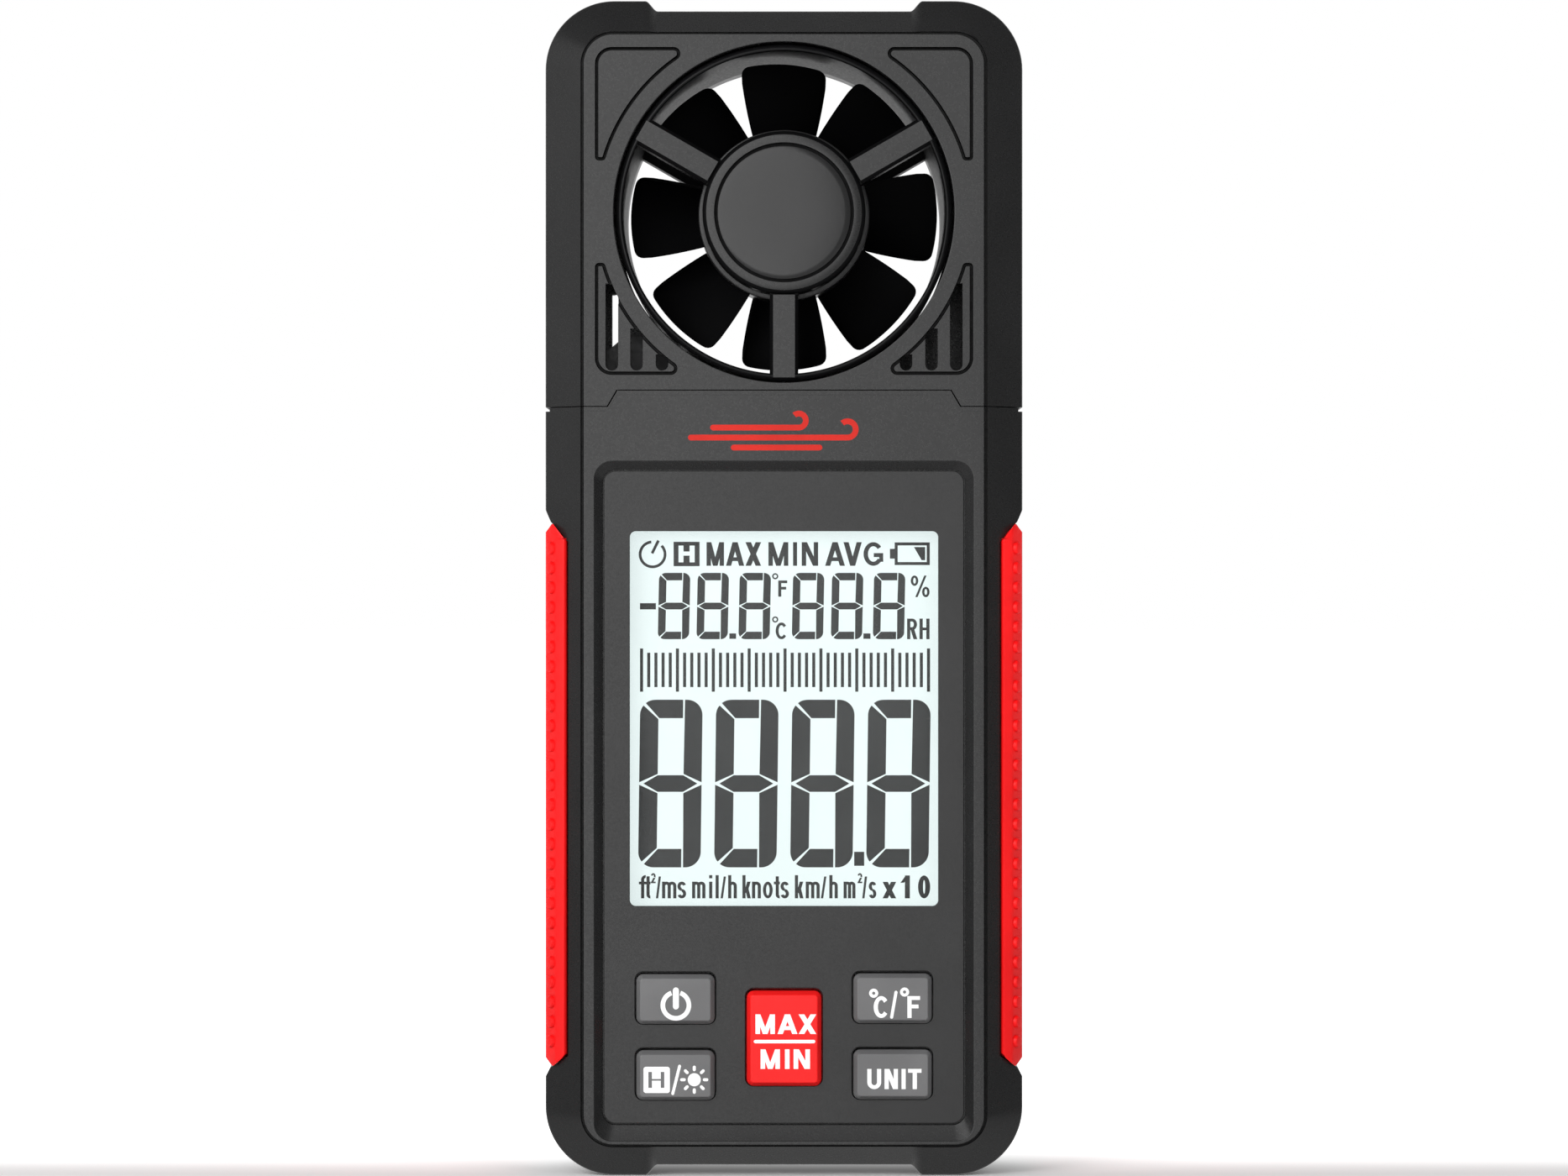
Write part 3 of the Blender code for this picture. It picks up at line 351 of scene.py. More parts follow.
FINISHES = {
    "case": material("case_plastic", (0.0125, 0.0125, 0.0127), 0.31, height=0.005, grain=3400),
    "plate": material("faceplate_plastic", (0.0148, 0.0148, 0.015), 0.36, height=0.003, grain=3600),
    # painted shade: a darker copy of the case plastic for the walls and floors of grooves, fine lines and
    # vents, which are the same plastic and only look darker from shade
    "recess": material("case_painted_shade", (0.007, 0.007, 0.0072), 0.5, height=0.003, specular=0.2),
    "cap": material("cap_plastic", (0.0125, 0.0125, 0.0127), 0.24, height=0.005, grain=2400,
                    gloss_spread=0.03),
    "gloss": material("duct_black", (0.004, 0.004, 0.0044), 0.36, height=0.002, grain=1200,
                      gloss_spread=0.05, specular=0.35),
    "matt": material("spider_black", (0.003, 0.003, 0.0032), 0.45, height=0.003, specular=0.1),
    "blade": material("blade_black", (0.0014, 0.0014, 0.0016), 0.5, height=0.003, specular=0.05),
    "hub": material("rotor_hub", (0.02, 0.02, 0.0203), 0.34, height=0.003),
    "grip": material("grip_rubber", (0.78, 0.007, 0.008), 0.36, height=0.006, grain=3000, spread=0.05,
                     specular=0.22),
    "key": material("key_plastic", (0.122, 0.122, 0.124), 0.42, height=0.006, grain=3200),
    "red_key": material("red_key_plastic", (0.78, 0.010, 0.010), 0.36, height=0.003, grain=3200,
                        spread=0.05, specular=0.28),
    # the white print also glows a little, which is painted light
    "print": material("white_print_painted_glow", (0.72, 0.72, 0.72), 0.5, height=0.002, grain=5000, glow=0.16),
    "mark": material("red_print", (0.46, 0.016, 0.010), 0.5, height=0.002, grain=5000, specular=0.2),
    "lcd": material("lcd_backlight", (0.17, 0.1925, 0.191), 0.35, spread=0.02, patch=60, height=0.001,
                    glow=4.1, specular=0.2),
    "segment": material("lcd_segment", (0.042, 0.043, 0.043), 0.6, height=0.001, specular=0.2),
    "lens": material("window_lens", (0.2, 0.22, 0.22), 0.10, spread=0.03, height=0.0005, grain=600,
                     gloss_spread=0.04, alpha=0.03, specular=0.12),
    "light": material("light_guide", (0.72, 0.74, 0.76), 0.35, height=0.01, grain=1500, glow=0.1),
    "white": material("white_plastic", (0.62, 0.61, 0.58), 0.42, height=0.004),
    "rubber": material("silicone_mat", (0.25, 0.25, 0.25), 0.7, height=0.008),
    "board": board_material(),
    "dark_board": material("dark_board", (0.018, 0.018, 0.02), 0.4, height=0.01, grain=1400),
    "chip": material("chip_epoxy", (0.022, 0.022, 0.024), 0.45, height=0.008, grain=5200),
    "steel": material("zinc_steel", (0.60, 0.60, 0.62), 0.3, metallic=1.0, height=0.004,
                      grain=1800, second=(0.50, 0.49, 0.46)),
    "nickel": material("nickel_strip", (0.66, 0.63, 0.57), 0.3, metallic=1.0, height=0.003,
                       grain=2200, stretch=(1, 1, 6)),
    "magnet": material("magnet_grey", (0.20, 0.20, 0.21), 0.4, metallic=0.8, height=0.006),
    "cell": cell_material("cell_sleeve", 20, 72),
    "turned_cell": cell_material("turned_cell_sleeve", 67, 15),
    "cable": material("cable_sheath", (0.10, 0.10, 0.11), 0.5, height=0.004),
    "floor": material("floor_paper", (0.90, 0.90, 0.90), 0.9, spread=0.004, height=0.0, patch=2.0,
                      specular=0.0, gloss_spread=0.02),
}


# ---------------------------------------------------------------- outlines, as (x, z) points

def arc(cx, cz, radius, start, end, steps):
    angles = [math.radians(start + (end - start) * i / steps) for i in range(steps + 1)]
    return [(cx + radius * math.cos(a), cz + radius * math.sin(a)) for a in angles]


def rounded_rect(half_width, bottom, top, radius, grow=0.0, x=0.0, steps=8):
    half_width, bottom, top = half_width + grow, bottom - grow, top + grow
    radius = max(radius + grow, 0.06)
    side, low, high = half_width - radius, bottom + radius, top - radius
    return (arc(x + side, high, radius, 0, 90, steps) + arc(x - side, high, radius, 90, 180, steps)
            + arc(x - side, low, radius, 180, 270, steps) + arc(x + side, low, radius, 270, 360, steps))


def case_outline(share):
    """The case's outline, part of the way from its face to its full section."""
    half_width, bottom, top, radius, set_back = (
        a + (b - a) * share for a, b in zip(FACE_OUTLINE, FULL_OUTLINE))
    step = [(BUMPER_EDGE + (BUMPER_FOOT - BUMPER_EDGE) * t, set_back * t * t * (3 - 2 * t))
            for t in (i / BUMPER_STEPS for i in range(BUMPER_STEPS + 1))]
    side, low, high = half_width - radius, bottom + radius, top - radius
    points = arc(side, high, radius, 0, 90, 22) + [(x, top - drop) for x, drop in step]
    points += [(-x, top - drop) for x, drop in reversed(step)]
    points += arc(-side, high, radius, 90, 180, 22) + arc(-side, low, radius, 180, 270, 22)
    points += [(-x, bottom + drop) for x, drop in step]
    points += [(x, bottom + drop) for x, drop in reversed(step)]
    return points + arc(side, low, radius, 270, 360, 22)


def key_outline(x, z, size, grow):
    width, height = size
    return rounded_rect(width / 2, z - height / 2, z + height / 2, KEY_RADIUS, grow, x, steps=7)


# ---------------------------------------------------------------- solids

def new_object(name, bm, finishes=()):
    """Turns a bmesh drawn in millimetres into an object."""
    bmesh.ops.recalc_face_normals(bm, faces=bm.faces)
    bmesh.ops.scale(bm, vec=(MM, MM, MM), verts=bm.verts)
    mesh = bpy.data.meshes.new(name)
    bm.to_mesh(mesh)
    bm.free()
    for finish in finishes:
        mesh.materials.append(FINISHES[finish])
    made = bpy.data.objects.new(name, mesh)
    bpy.context.scene.collection.objects.link(made)
    return made


def add_loft(bm, rings, closed_ends=True):
    """Skins rings of (x, y, z) points that all have the same number of points."""
    rows = [[bm.verts.new(point) for point in ring] for ring in rings]
    count = len(rows[0])
    pairs = list(zip(rows, rows[1:]))
    if not closed_ends:
        pairs.append((rows[-1], rows[0]))
    for first, second in pairs:
        for i in range(count):
            j = (i + 1) % count
            bm.faces.new((first[i], first[j], second[j], second[i]))
    if closed_ends:
        bm.faces.new(rows[0])
        bm.faces.new(list(reversed(rows[-1])))


def loft(name, rings, finishes=(), closed_ends=True):
    bm = bmesh.new()
    add_loft(bm, rings, closed_ends)
    return new_object(name, bm, finishes)


def stack(name, outline_of, stations, finishes=()):
    """Lofts along Y through stations of (y, whatever outline_of takes)."""
    return loft(name, [[(x, y, z) for x, z in outline_of(value)] for y, value in stations], finishes)


def prism_y(name, outline, y0, y1, finishes=()):
    return loft(name, [[(x, y, z) for x, z in outline] for y in (y0, y1)], finishes)


def rect(x0, x1, z0, z1):
    return [(x0, z0), (x1, z0), (x1, z1), (x0, z1)]


def box(name, x, y, z):
    return prism_y(name, rect(*x, *z), *y)


def turned(name, profile, centre, finishes=(), sides=160):
    """Turns a profile of (radius, y) about the line along Y through centre, an (x, z) point.

    A point with radius 0 at each end closes the solid on its axis; otherwise it is a ring.
    """
    solid = profile[0][0] == 0 and profile[-1][0] == 0
    turns = [2 * math.pi * k / sides for k in range(sides)]
    rings = [[(centre[0] + radius * math.cos(a), y, centre[1] + radius * math.sin(a)) for a in turns]
             for radius, y in (profile[1:-1] if solid else profile)]
    return loft(name, rings, finishes, closed_ends=solid)


def carve(item, *tools, operation="DIFFERENCE"):
    """Cuts, joins or intersects with the tools, applies the result and removes the tools."""
    for tool in tools:
        modifier = item.modifiers.new("carve", "BOOLEAN")
        modifier.operation = operation
        modifier.object = tool
        modifier.solver = "EXACT"
        depsgraph = bpy.context.evaluated_depsgraph_get()
        made = bpy.data.meshes.new_from_object(item.evaluated_get(depsgraph))
        item.modifiers.clear()
        old, item.data = item.data, made
        bpy.data.meshes.remove(old)
        bpy.data.objects.remove(tool, do_unlink=True)
    return item


def join(item, *tools):
    return carve(item, *tools, operation="UNION")


def shade(item, angle=32):
    """Smooth shading that keeps edges sharper than angle and large faces flat."""
    item.data.shade_smooth()
    item.data.set_sharp_from_angle(angle=math.radians(angle))
    normals = item.modifiers.new("normals", "WEIGHTED_NORMAL")
    normals.keep_sharp = True
    normals.weight = 60
    return item


def place(item, body, slot, *nodes, angle=32):
    """Finishes a piece: its shading, its body and the CAD nodes it stands for. The material slot it is given
    is not used.
    """
    shade(item, angle)
    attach(item, body)
    if nodes:
        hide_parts(*nodes)
    return item


def paint(item, test, index):
    """Gives the faces that pass test(centre, normal), in millimetres, the material at index."""
    for face in item.data.polygons:
        if test(face.center / MM, face.normal):
            face.material_index = index


# ---------------------------------------------------------------- case

def half_case(name, side):
    made = stack(name, case_outline, [(side * y, share) for share, y in CASE_PROFILE], ["case", "recess"])
    # painted shade: the fine line round the face gets the darker recess finish
    paint(made, lambda centre, normal: GUTTER_Y[0] < abs(centre.y) < GUTTER_Y[1], 1)
    return made


def seam_region(is_head):
    shift = SEAM_GAP / 2 if is_head else -SEAM_GAP / 2
    path = [(x + (shift if i else 0), z + shift) for i, (x, z) in enumerate(SEAM_PATH)]
    path += [(-x, z) for x, z in reversed(path)]
    far_z = 200 if is_head else -50
    return prism_y("seam_region", path + [(path[-1][0], far_z), (path[0][0], far_z)], -30, 30)


def cavity(outlines, y_face, y_back, y_end):
    face, back = outlines
    return stack("cavity", lambda outline: rounded_rect(*outline),
                 [(y_face, face), (y_back, back), (y_end, back)])


def vane_hole():
    """The round hole through the head, with softly rounded mouths."""
    edge = FACE_HOLE_R + 0.16
    profile = [(0, -20), (edge + 0.3, -20), (edge, -14.5), (FACE_HOLE_R + 0.04, -14.44),
               (FACE_HOLE_R, -14.34), (FACE_HOLE_R, 14.34), (FACE_HOLE_R + 0.04, 14.44), (edge, 14.5),
               (edge + 0.3, 20), (0, 20)]
    return turned("vane_hole", profile, (0, VANE_Z), sides=200)


def vent_slot(side, inner, outer, top, y0, y1):
    """A slot with a round foot, whose top ends on the triangle's arc."""
    radius, middle = (outer - inner) / 2, (inner + outer) / 2
    outline = [(x, min(top, VANE_Z - math.sqrt(TRIANGLE_ARC_R ** 2 - x ** 2) - 0.05))
               for x in (outer, outer - radius * 0.5, middle, inner + radius * 0.5, inner)]
    outline += arc(middle, VENT_FOOT_Z + radius, radius, 180, 360, 10)
    return prism_y("vent", mirror_x(outline, side), y0, y1)


def touching_radius(reach, inner):
    """Radius of the round that touches the arc and a side this far from the duct's axis, with its
    far point at inner, measured along that side."""
    base = TRIANGLE_ARC_R + reach - inner
    return base - math.sqrt(base ** 2 + TRIANGLE_ARC_R ** 2 - reach ** 2 - inner ** 2)


def triangle_outline(side, spec, inset):
    """One corner triangle: two straight sides with a round corner, joined by an arc round the duct."""
    z_long, z_end, inner_x = spec
    up = 1 if z_long > VANE_Z else -1
    reach, end = abs(z_long - VANE_Z), abs(z_end - VANE_Z)
    corner = TRIANGLE_CORNER_R
    tip = touching_radius(reach, inner_x)
    tip_x = inner_x + tip
    foot_z = end + TRIANGLE_FOOT_R
    foot_x = math.sqrt((TRIANGLE_ARC_R + TRIANGLE_FOOT_R) ** 2 - foot_z ** 2)
    points = arc(TRIANGLE_X - corner, reach - corner, corner - inset, 0, 90, 10)
    towards = math.degrees(math.atan2(reach - tip, tip_x))
    points += arc(tip_x, reach - tip, tip - inset, 90, 180 + towards, 10)
    below = math.degrees(math.atan2(foot_z, foot_x))
    points += arc(0, 0, TRIANGLE_ARC_R + inset, towards, below, 26)[1:-1]
    points += arc(foot_x, foot_z, TRIANGLE_FOOT_R - inset, 180 + below, 270, 5)
    points += arc(TRIANGLE_X - TRIANGLE_FOOT_R, foot_z, TRIANGLE_FOOT_R - inset, 270, 360, 5)
    return [(side * x, VANE_Z + up * z) for x, z in points]


def groove_tool(outer, inner, y_top, y_floor):
    """Closed solid between two outlines from y_top to y_floor, narrower at the floor."""
    def pulled(points, other):
        return [(x + (to_x - x) * GROOVE_PULL, z + (to_z - z) * GROOVE_PULL)
                for (x, z), (to_x, to_z) in zip(points, other)]
    rings = [[(x, y, z) for x, z in outline] for y, outline in (
        (y_top, outer), (y_floor, pulled(outer, inner)), (y_floor, pulled(inner, outer)), (y_top, inner))]
    return loft("groove", rings, closed_ends=False)


def screw_boss(x, z, y0, y1):
    return turned("boss", [(0, y0), (BOSS_R, y0), (BOSS_R, y1), (0, y1)], (x, z), sides=40)


def pilot(x, z):
    return turned("pilot", [(0, -6.5), (SCREW_HOLE_R, -6.5), (SCREW_HOLE_R, 1), (0, 1)], (x, z), sides=24)


def counterbore(x, z):
    """Screw hole from the rear, with a softly broken edge at its mouth."""
    profile = [(0, -1), (SCREW_HOLE_R, -1), (SCREW_HOLE_R, 7.5), (2.2, 7.5), (2.2, 14.25),
               (2.27, 14.42), (2.45, FACE_Y), (2.9, 20), (0, 20)]
    return turned("counterbore", profile, (x, z), sides=48)


def in_head_panels(centre):
    """Whether a point in millimetres lies by the corner triangles, outside the vane's hole."""
    return (abs(centre.x) < 26.4 and abs(centre.z - VANE_Z) < 24.0
            and math.hypot(centre.x, centre.z - VANE_Z) > FACE_HOLE_R + 0.3)


def head_covers():
    for side, name, cad, region in ((-1, "head_front_shell", "head_front_cover", FRONT_HEAD_Y),
                                    (1, "head_back_shell", "head_rear_cover", REAR_HEAD_Y)):
        cover = carve(half_case(name, side), seam_region(True), operation="INTERSECT")
        carve(cover, cavity(HEAD_CAVITY, *region))
        for x, z in HEAD_SCREWS.values():
            join(cover, screw_boss(x, z, side * 13, side * 0.15))
        carve(cover, vane_hole())
        for flank in (-1, 1):
            for spec in (UPPER_TRIANGLE, LOWER_TRIANGLE):
                outer, inner = (triangle_outline(flank, spec, inset) for inset in (0.0, GROOVE_WIDTH))
                carve(cover, groove_tool(outer, inner, side * (FACE_Y + 0.2), side * (FACE_Y - GROOVE_DEPTH)))
            blind = side > 0 and flank > 0
            depth = side * (BLIND_VENT_Y if blind else VENT_Y)
            for slot in VENT_SLOTS:
                carve(cover, vent_slot(flank, *slot, *sorted((depth, side * BEYOND_Y))))
        # painted shade: the walls and floors of the grooves and vents round the corner triangles get the
        # darker recess finish
        paint(cover, lambda centre, normal: 14.45 - GROOVE_DEPTH < abs(centre.y) < 14.45
              and in_head_panels(centre), 1)
        for x, z in HEAD_SCREWS.values():
            carve(cover, pilot(x, z) if side < 0 else counterbore(x, z))
        place(cover, CASE, "case_black", cad)


def grip_outline(grow):
    """Front view of a grip's ends, for a cutter: slanted towards the face and a little outwards."""
    low, high = GRIP_Z[0] - grow, GRIP_Z[1] + grow
    return [(28.5, low + 2.3), (GRIP_LONGEST_X, low), (33.5, low + 2.2), (36, low + 5),
            (36, high - 5), (33.5, high - 2.2), (GRIP_LONGEST_X, high), (28.5, high - 3.6)]


def mirror_x(points, side):
    return [(side * a, b) for a, b in points]


def grip_pocket(side):
    rings = [[(x, y, z) for x, y in mirror_x(POCKET, side)] for z in (5, 100)]
    pocket = loft("pocket", rings)
    ends = prism_y("pocket_ends", mirror_x(grip_outline(0.12), side), -20, 20)
    return carve(pocket, ends, operation="INTERSECT")


def grip_scoops(side):
    """Slanted cuts where the case's flank falls away towards each end of the grip."""
    high = [(31.72, GRIP_Z[1] + 0.05), (38, GRIP_Z[1] - 8.2), (38, GRIP_Z[1] + 14.0)]
    low = [(31.72, GRIP_Z[0] - 0.05), (38, GRIP_Z[0] + 7.2), (38, GRIP_Z[0] - 11.5)]
    return [prism_y("scoop", mirror_x(points, side), -20, 20) for points in (high, low)]


def body_cuts(shell, side):
    """What the two body shells share: the grips' pockets, the side notches and the line by the seam."""
    for flank in (-1, 1):
        carve(shell, grip_pocket(flank), *grip_scoops(flank))
        notch = (NOTCH_X, 40) if flank > 0 else (-40, -NOTCH_X)
        carve(shell, box("notch", notch, (-20, 20), (NOTCH_Z[0], NOTCH_Z[1] + 4)))
    line = [(x, z - REBATE_DROP) for x, z in SEAM_PATH[1:]]
    line = [(27.1, line[0][1]), *line]
    path = mirror_x(line, -1) + line[::-1]
    below = [(x, z - REBATE_WIDTH) for x, z in path]
    carve(shell, prism_y("rebate", path + below[::-1], side * (FACE_Y - REBATE_DEPTH), side * BEYOND_Y))


def body_front():
    shell = carve(half_case("body_front_case", -1), seam_region(False), operation="INTERSECT")
    carve(shell, cavity(BODY_CAVITY, *FRONT_BODY_Y))
    stations = ((-BEYOND_Y, (RECESS_MOUTH, 0.7)), (-FACE_Y, (RECESS_MOUTH, 0.17)),
                (-14.46, (RECESS_MOUTH, 0.06)), (-14.36, (RECESS_MOUTH, -0.04)),
                (PLATE_Y[0] - 0.02, (RECESS_FLOOR, 0.0)), (LEDGE_Y, (RECESS_FLOOR, 0.0)))
    carve(shell, stack("recess", lambda v: rounded_rect(*v[0], grow=v[1], steps=12), stations))
    carve(shell, prism_y("display_hole", rounded_rect(*LENS, grow=0.3), -13, -10))
    for x, z, size, _ in KEYS.values():
        carve(shell, prism_y("key_hole", key_outline(x, z, size, 0.05), -13, -10))
    for x, z in BODY_SCREWS.values():
        join(shell, screw_boss(x, z, -11.5, -0.15))
        carve(shell, pilot(x, z))
    body_cuts(shell, -1)
    place(shell, CASE, "case_black", "body_front_shell")


def body_rear():
    shell = carve(half_case("body_rear_case", 1), seam_region(False), operation="INTERSECT")
    carve(shell, cavity(BODY_CAVITY, *REAR_BODY_Y))
    half, y0, y1, z0, z1 = TRAY
    join(shell, box("tray", (-half, half), (y0, y1), (z0, z1)))
    half, y0, y1, z0, z1 = TRAY_INSIDE
    carve(shell, box("tray_space", (-half, half), (y0, y1), (z0, z1)))
    half, low, high = DOOR
    stations = ((12.4, 0.12), (14.3, 0.12), (14.42, 0.17), (FACE_Y, 0.32), (BEYOND_Y, 1.2))
    carve(shell, stack("door_hole", lambda grow: rounded_rect(half, low, high, 1.2, grow), stations))
    for x, z in BODY_SCREWS.values():
        join(shell, screw_boss(x, z, 13, 0.15))
        carve(shell, counterbore(x, z))
    for x, z in CONTACT_TAILS:
        carve(shell, box("tail_slot", (x - 1.6, x + 1.6), (-2, 2), (z - 0.4, z + 0.8)))
    # thumb scoop in the wall above the door's free edge
    scoop = [(0, 13.6), (4.6, 13.6), (6.2, FACE_Y), (8.0, BEYOND_Y), (0, BEYOND_Y)]
    thumb = turned("thumb", scoop, (0, high + 1.2), sides=64)
    carve(thumb, box("thumb_limit", (-12, 12), (10, 20), (high + 0.05, high + 12)), operation="INTERSECT")
    carve(shell, thumb)
    body_cuts(shell, 1)
    place(shell, CASE, "case_black", "body_rear_shell")


# ---------------------------------------------------------------- grips

def unit_normal(a, b):
    """Outward normal of a section edge from a to b, for a section drawn front to back on +X."""
    dx, dy = b[0] - a[0], b[1] - a[1]
    length = math.hypot(dx, dy)
    return dy / length, -dx / length


def grip_end_z(x, is_high):
    """Where the grip ends at this distance out: drawn back inside and outside its longest line."""
    inside, outside = GRIP_END_DROPS[is_high]
    if x <= GRIP_LONGEST_X:
        drop = inside * (GRIP_LONGEST_X - max(x, GRIP_END_X[0])) / (GRIP_LONGEST_X - GRIP_END_X[0])
    else:
        drop = outside * (x - GRIP_LONGEST_X) / (GRIP_END_X[1] - GRIP_LONGEST_X)
    return GRIP_Z[1] - drop if is_high else GRIP_Z[0] + drop


def grip(name, side, cad):
    """Rubber strip with rows of round bumps, its ends slanted and chamfered."""
    cell = GRIP_BUMP_QUADS
    start = sum(GRIP_Z) / 2 - GRIP_ROWS * GRIP_BUMP_PITCH / 2
    section, columns = [], []
    for i, (a, b) in enumerate(zip(GRIP_OUTER, GRIP_OUTER[1:])):
        cells = GRIP_COLUMNS.get(i, 0)
        pieces = cells * cell or 1
        columns += [(len(section) + k * cell, unit_normal(a, b)) for k in range(cells)]
        section += [(a[0] + (b[0] - a[0]) * k / pieces, a[1] + (b[1] - a[1]) * k / pieces)
                    for k in range(pieces)]
    section.append(GRIP_OUTER[-1])
    open_count = len(section)
    section += GRIP_INNER

    def end_ring(is_high, inset):
        """A ring near an end; the last one is inset, which chamfers the end."""
        ring = []
        for k, (x, y) in enumerate(section):
            z = grip_end_z(x, is_high)
            if not inset:
                z += -GRIP_END_CHAMFER if is_high else GRIP_END_CHAMFER
            elif k < open_count:
                x, y = x + (30.9 - x) * 0.26, y * 0.985
            ring.append((side * x, y, z))
        return ring

    rings = [end_ring(False, True), end_ring(False, False)]
    rings += [[(side * x, y, start + GRIP_BUMP_PITCH * k / cell) for x, y in section]
              for k in range(GRIP_ROWS * cell + 1)]
    rings += [end_ring(True, False), end_ring(True, True)]
    bm = bmesh.new()
    grid = [[bm.verts.new(point) for point in ring] for ring in rings]
    first_row = 2                           # the bumps' first row lies above the two end rings
    owned = {(first_row + r, column + c) for column, _ in columns
             for r in range(GRIP_ROWS * cell) for c in range(cell)}
    for r, (low, high) in enumerate(zip(grid, grid[1:])):
        for c in range(len(section)):
            if (r, c) not in owned:
                d = (c + 1) % len(section)
                bm.faces.new((low[c], low[d], high[d], high[c]))
    for column, normal in columns:
        rise = GRIP_BUMP_RISE[0] if abs(normal[1]) > 0.1 else GRIP_BUMP_RISE[1]
        for row in range(GRIP_ROWS):
            add_bump(bm, grid, first_row + row * cell, column, (side * normal[0], normal[1]), rise)
    for end in (grid[0], grid[-1]):
        bm.faces.new(end)
    place(new_object(name, bm, ["grip"]), CASE, "grip_red", cad, angle=38)


def add_bump(bm, grid, row, column, normal, rise):
    """Fills one cell of the grip's grid with a round, flat-topped bump."""
    cell = range(GRIP_BUMP_QUADS)
    far_row, far_column = row + GRIP_BUMP_QUADS, column + GRIP_BUMP_QUADS
    border = [grid[row][column + j] for j in cell] + [grid[row + i][far_column] for i in cell]
    border += [grid[far_row][far_column - j] for j in cell] + [grid[far_row - i][column] for i in cell]
    corner, beside, above = grid[row][column].co, grid[row][far_column].co, grid[far_row][column].co
    centre = (beside + above) / 2
    u, v = (beside - corner).normalized(), (above - corner).normalized()
    out = Vector((normal[0], normal[1], 0))
    previous = border
    for inset, share in ((-0.02, 0.0), (0.03, 0.55), (0.14, 0.9), (0.34, 1.0)):
        ring = []
        for vertex in border:
            offset = vertex.co - centre
            angle = math.atan2(offset.dot(v), offset.dot(u))
            spread = (u * math.cos(angle) + v * math.sin(angle)) * (GRIP_BUMP_R - inset)
            ring.append(bm.verts.new(centre + spread + out * rise * share))
        for i in range(len(border)):
            j = (i + 1) % len(border)
            bm.faces.new((previous[i], previous[j], ring[j], ring[i]))
        previous = ring
    bm.faces.new(previous)


# ---------------------------------------------------------------- faceplate, keys and display

def faceplate():
    face, back = PLATE_Y
    stations = ((back, 0.0), (face + 0.12, 0.0), (face + 0.03, -0.04), (face, -0.12))
    plate = stack("faceplate_panel", lambda grow: rounded_rect(*PLATE, grow=grow, steps=12), stations,
                  ["plate"])
    mouth = ((-BEYOND_Y, 0.9), (face, 0.1), (face + 0.03, 0.03), (face + 0.12, 0.0), (-12, 0.0))
    carve(plate, stack("window_hole", lambda grow: rounded_rect(*WINDOW, grow=grow), mouth))
    for x, z, size, _ in KEYS.values():
        carve(plate, stack("well", lambda grow: key_outline(x, z + KEY_DROP, size, grow), mouth))
    place(plate, CASE, "faceplate_grey", "faceplate")


def keys():
    edge, bevel = -KEY_CLEARANCE, -KEY_CLEARANCE - KEY_BEVEL
    stations = [(KEY_TOP_Y, bevel - 0.10), (KEY_TOP_Y + 0.03, bevel), (KEY_TOP_Y + 0.10, bevel + 0.09),
                (KEY_SHOULDER_Y - 0.28, edge - 0.12), (KEY_SHOULDER_Y - 0.12, edge - 0.03),
                (KEY_SHOULDER_Y, edge), (KEY_FLANGE_Y[0], edge), (KEY_FLANGE_Y[0], edge + KEY_FLANGE),
                (KEY_FLANGE_Y[1], edge + KEY_FLANGE)]
    for name, (x, z, size, body) in KEYS.items():
        finish, slot = ("red_key", "key_red") if name == "max_min_button" else ("key", "key_grey")
        cap = stack(name.replace("_button", "_key_cap"), lambda grow: key_outline(x, z, size, grow),
                    stations, [finish])
        place(cap, body, slot, name, angle=40)


def bar(x0, z0, x1, z1, width, rounded=False):
    """A straight stroke from one point to another."""
    a, b = Vector((x0, z0)), Vector((x1, z1))
    way = (b - a).normalized()
    across = Vector((-way.y, way.x)) * width / 2
    if not rounded:
        return [tuple(a - across), tuple(b - across), tuple(b + across), tuple(a + across)]
    turn = math.degrees(math.atan2(way.y, way.x))
    return (arc(b.x, b.y, width / 2, turn - 90, turn + 90, 8)
            + arc(a.x, a.y, width / 2, turn + 90, turn + 270, 8))


def ring_parts(x, z, outer, inner, start=0, end=360, steps=40):
    """A ring or part of one, as one outline round both of its edges."""
    return arc(x, z, outer, start, end, steps) + arc(x, z, inner, start, end, steps)[::-1]


def slant(x0, z0, x1, z1, width):
    """A leaning stroke whose ends are cut level."""
    half = width / 2
    return [(x0 - half, z0), (x0 + half, z0), (x1 + half, z1), (x1 - half, z1)]


def bow(cx, cz, rx, rz, start, end, stroke):
    """Part of an oval ring, a little thinner at its top and bottom than at its sides."""
    turns = arc(0, 0, 1, start, end, BOW_STEPS)
    outside = [(cx + rx * c, cz + rz * s) for c, s in turns]
    inside = [(cx + (rx - stroke) * c, cz + (rz - stroke * 0.92) * s) for c, s in turns]
    return outside + inside[::-1]


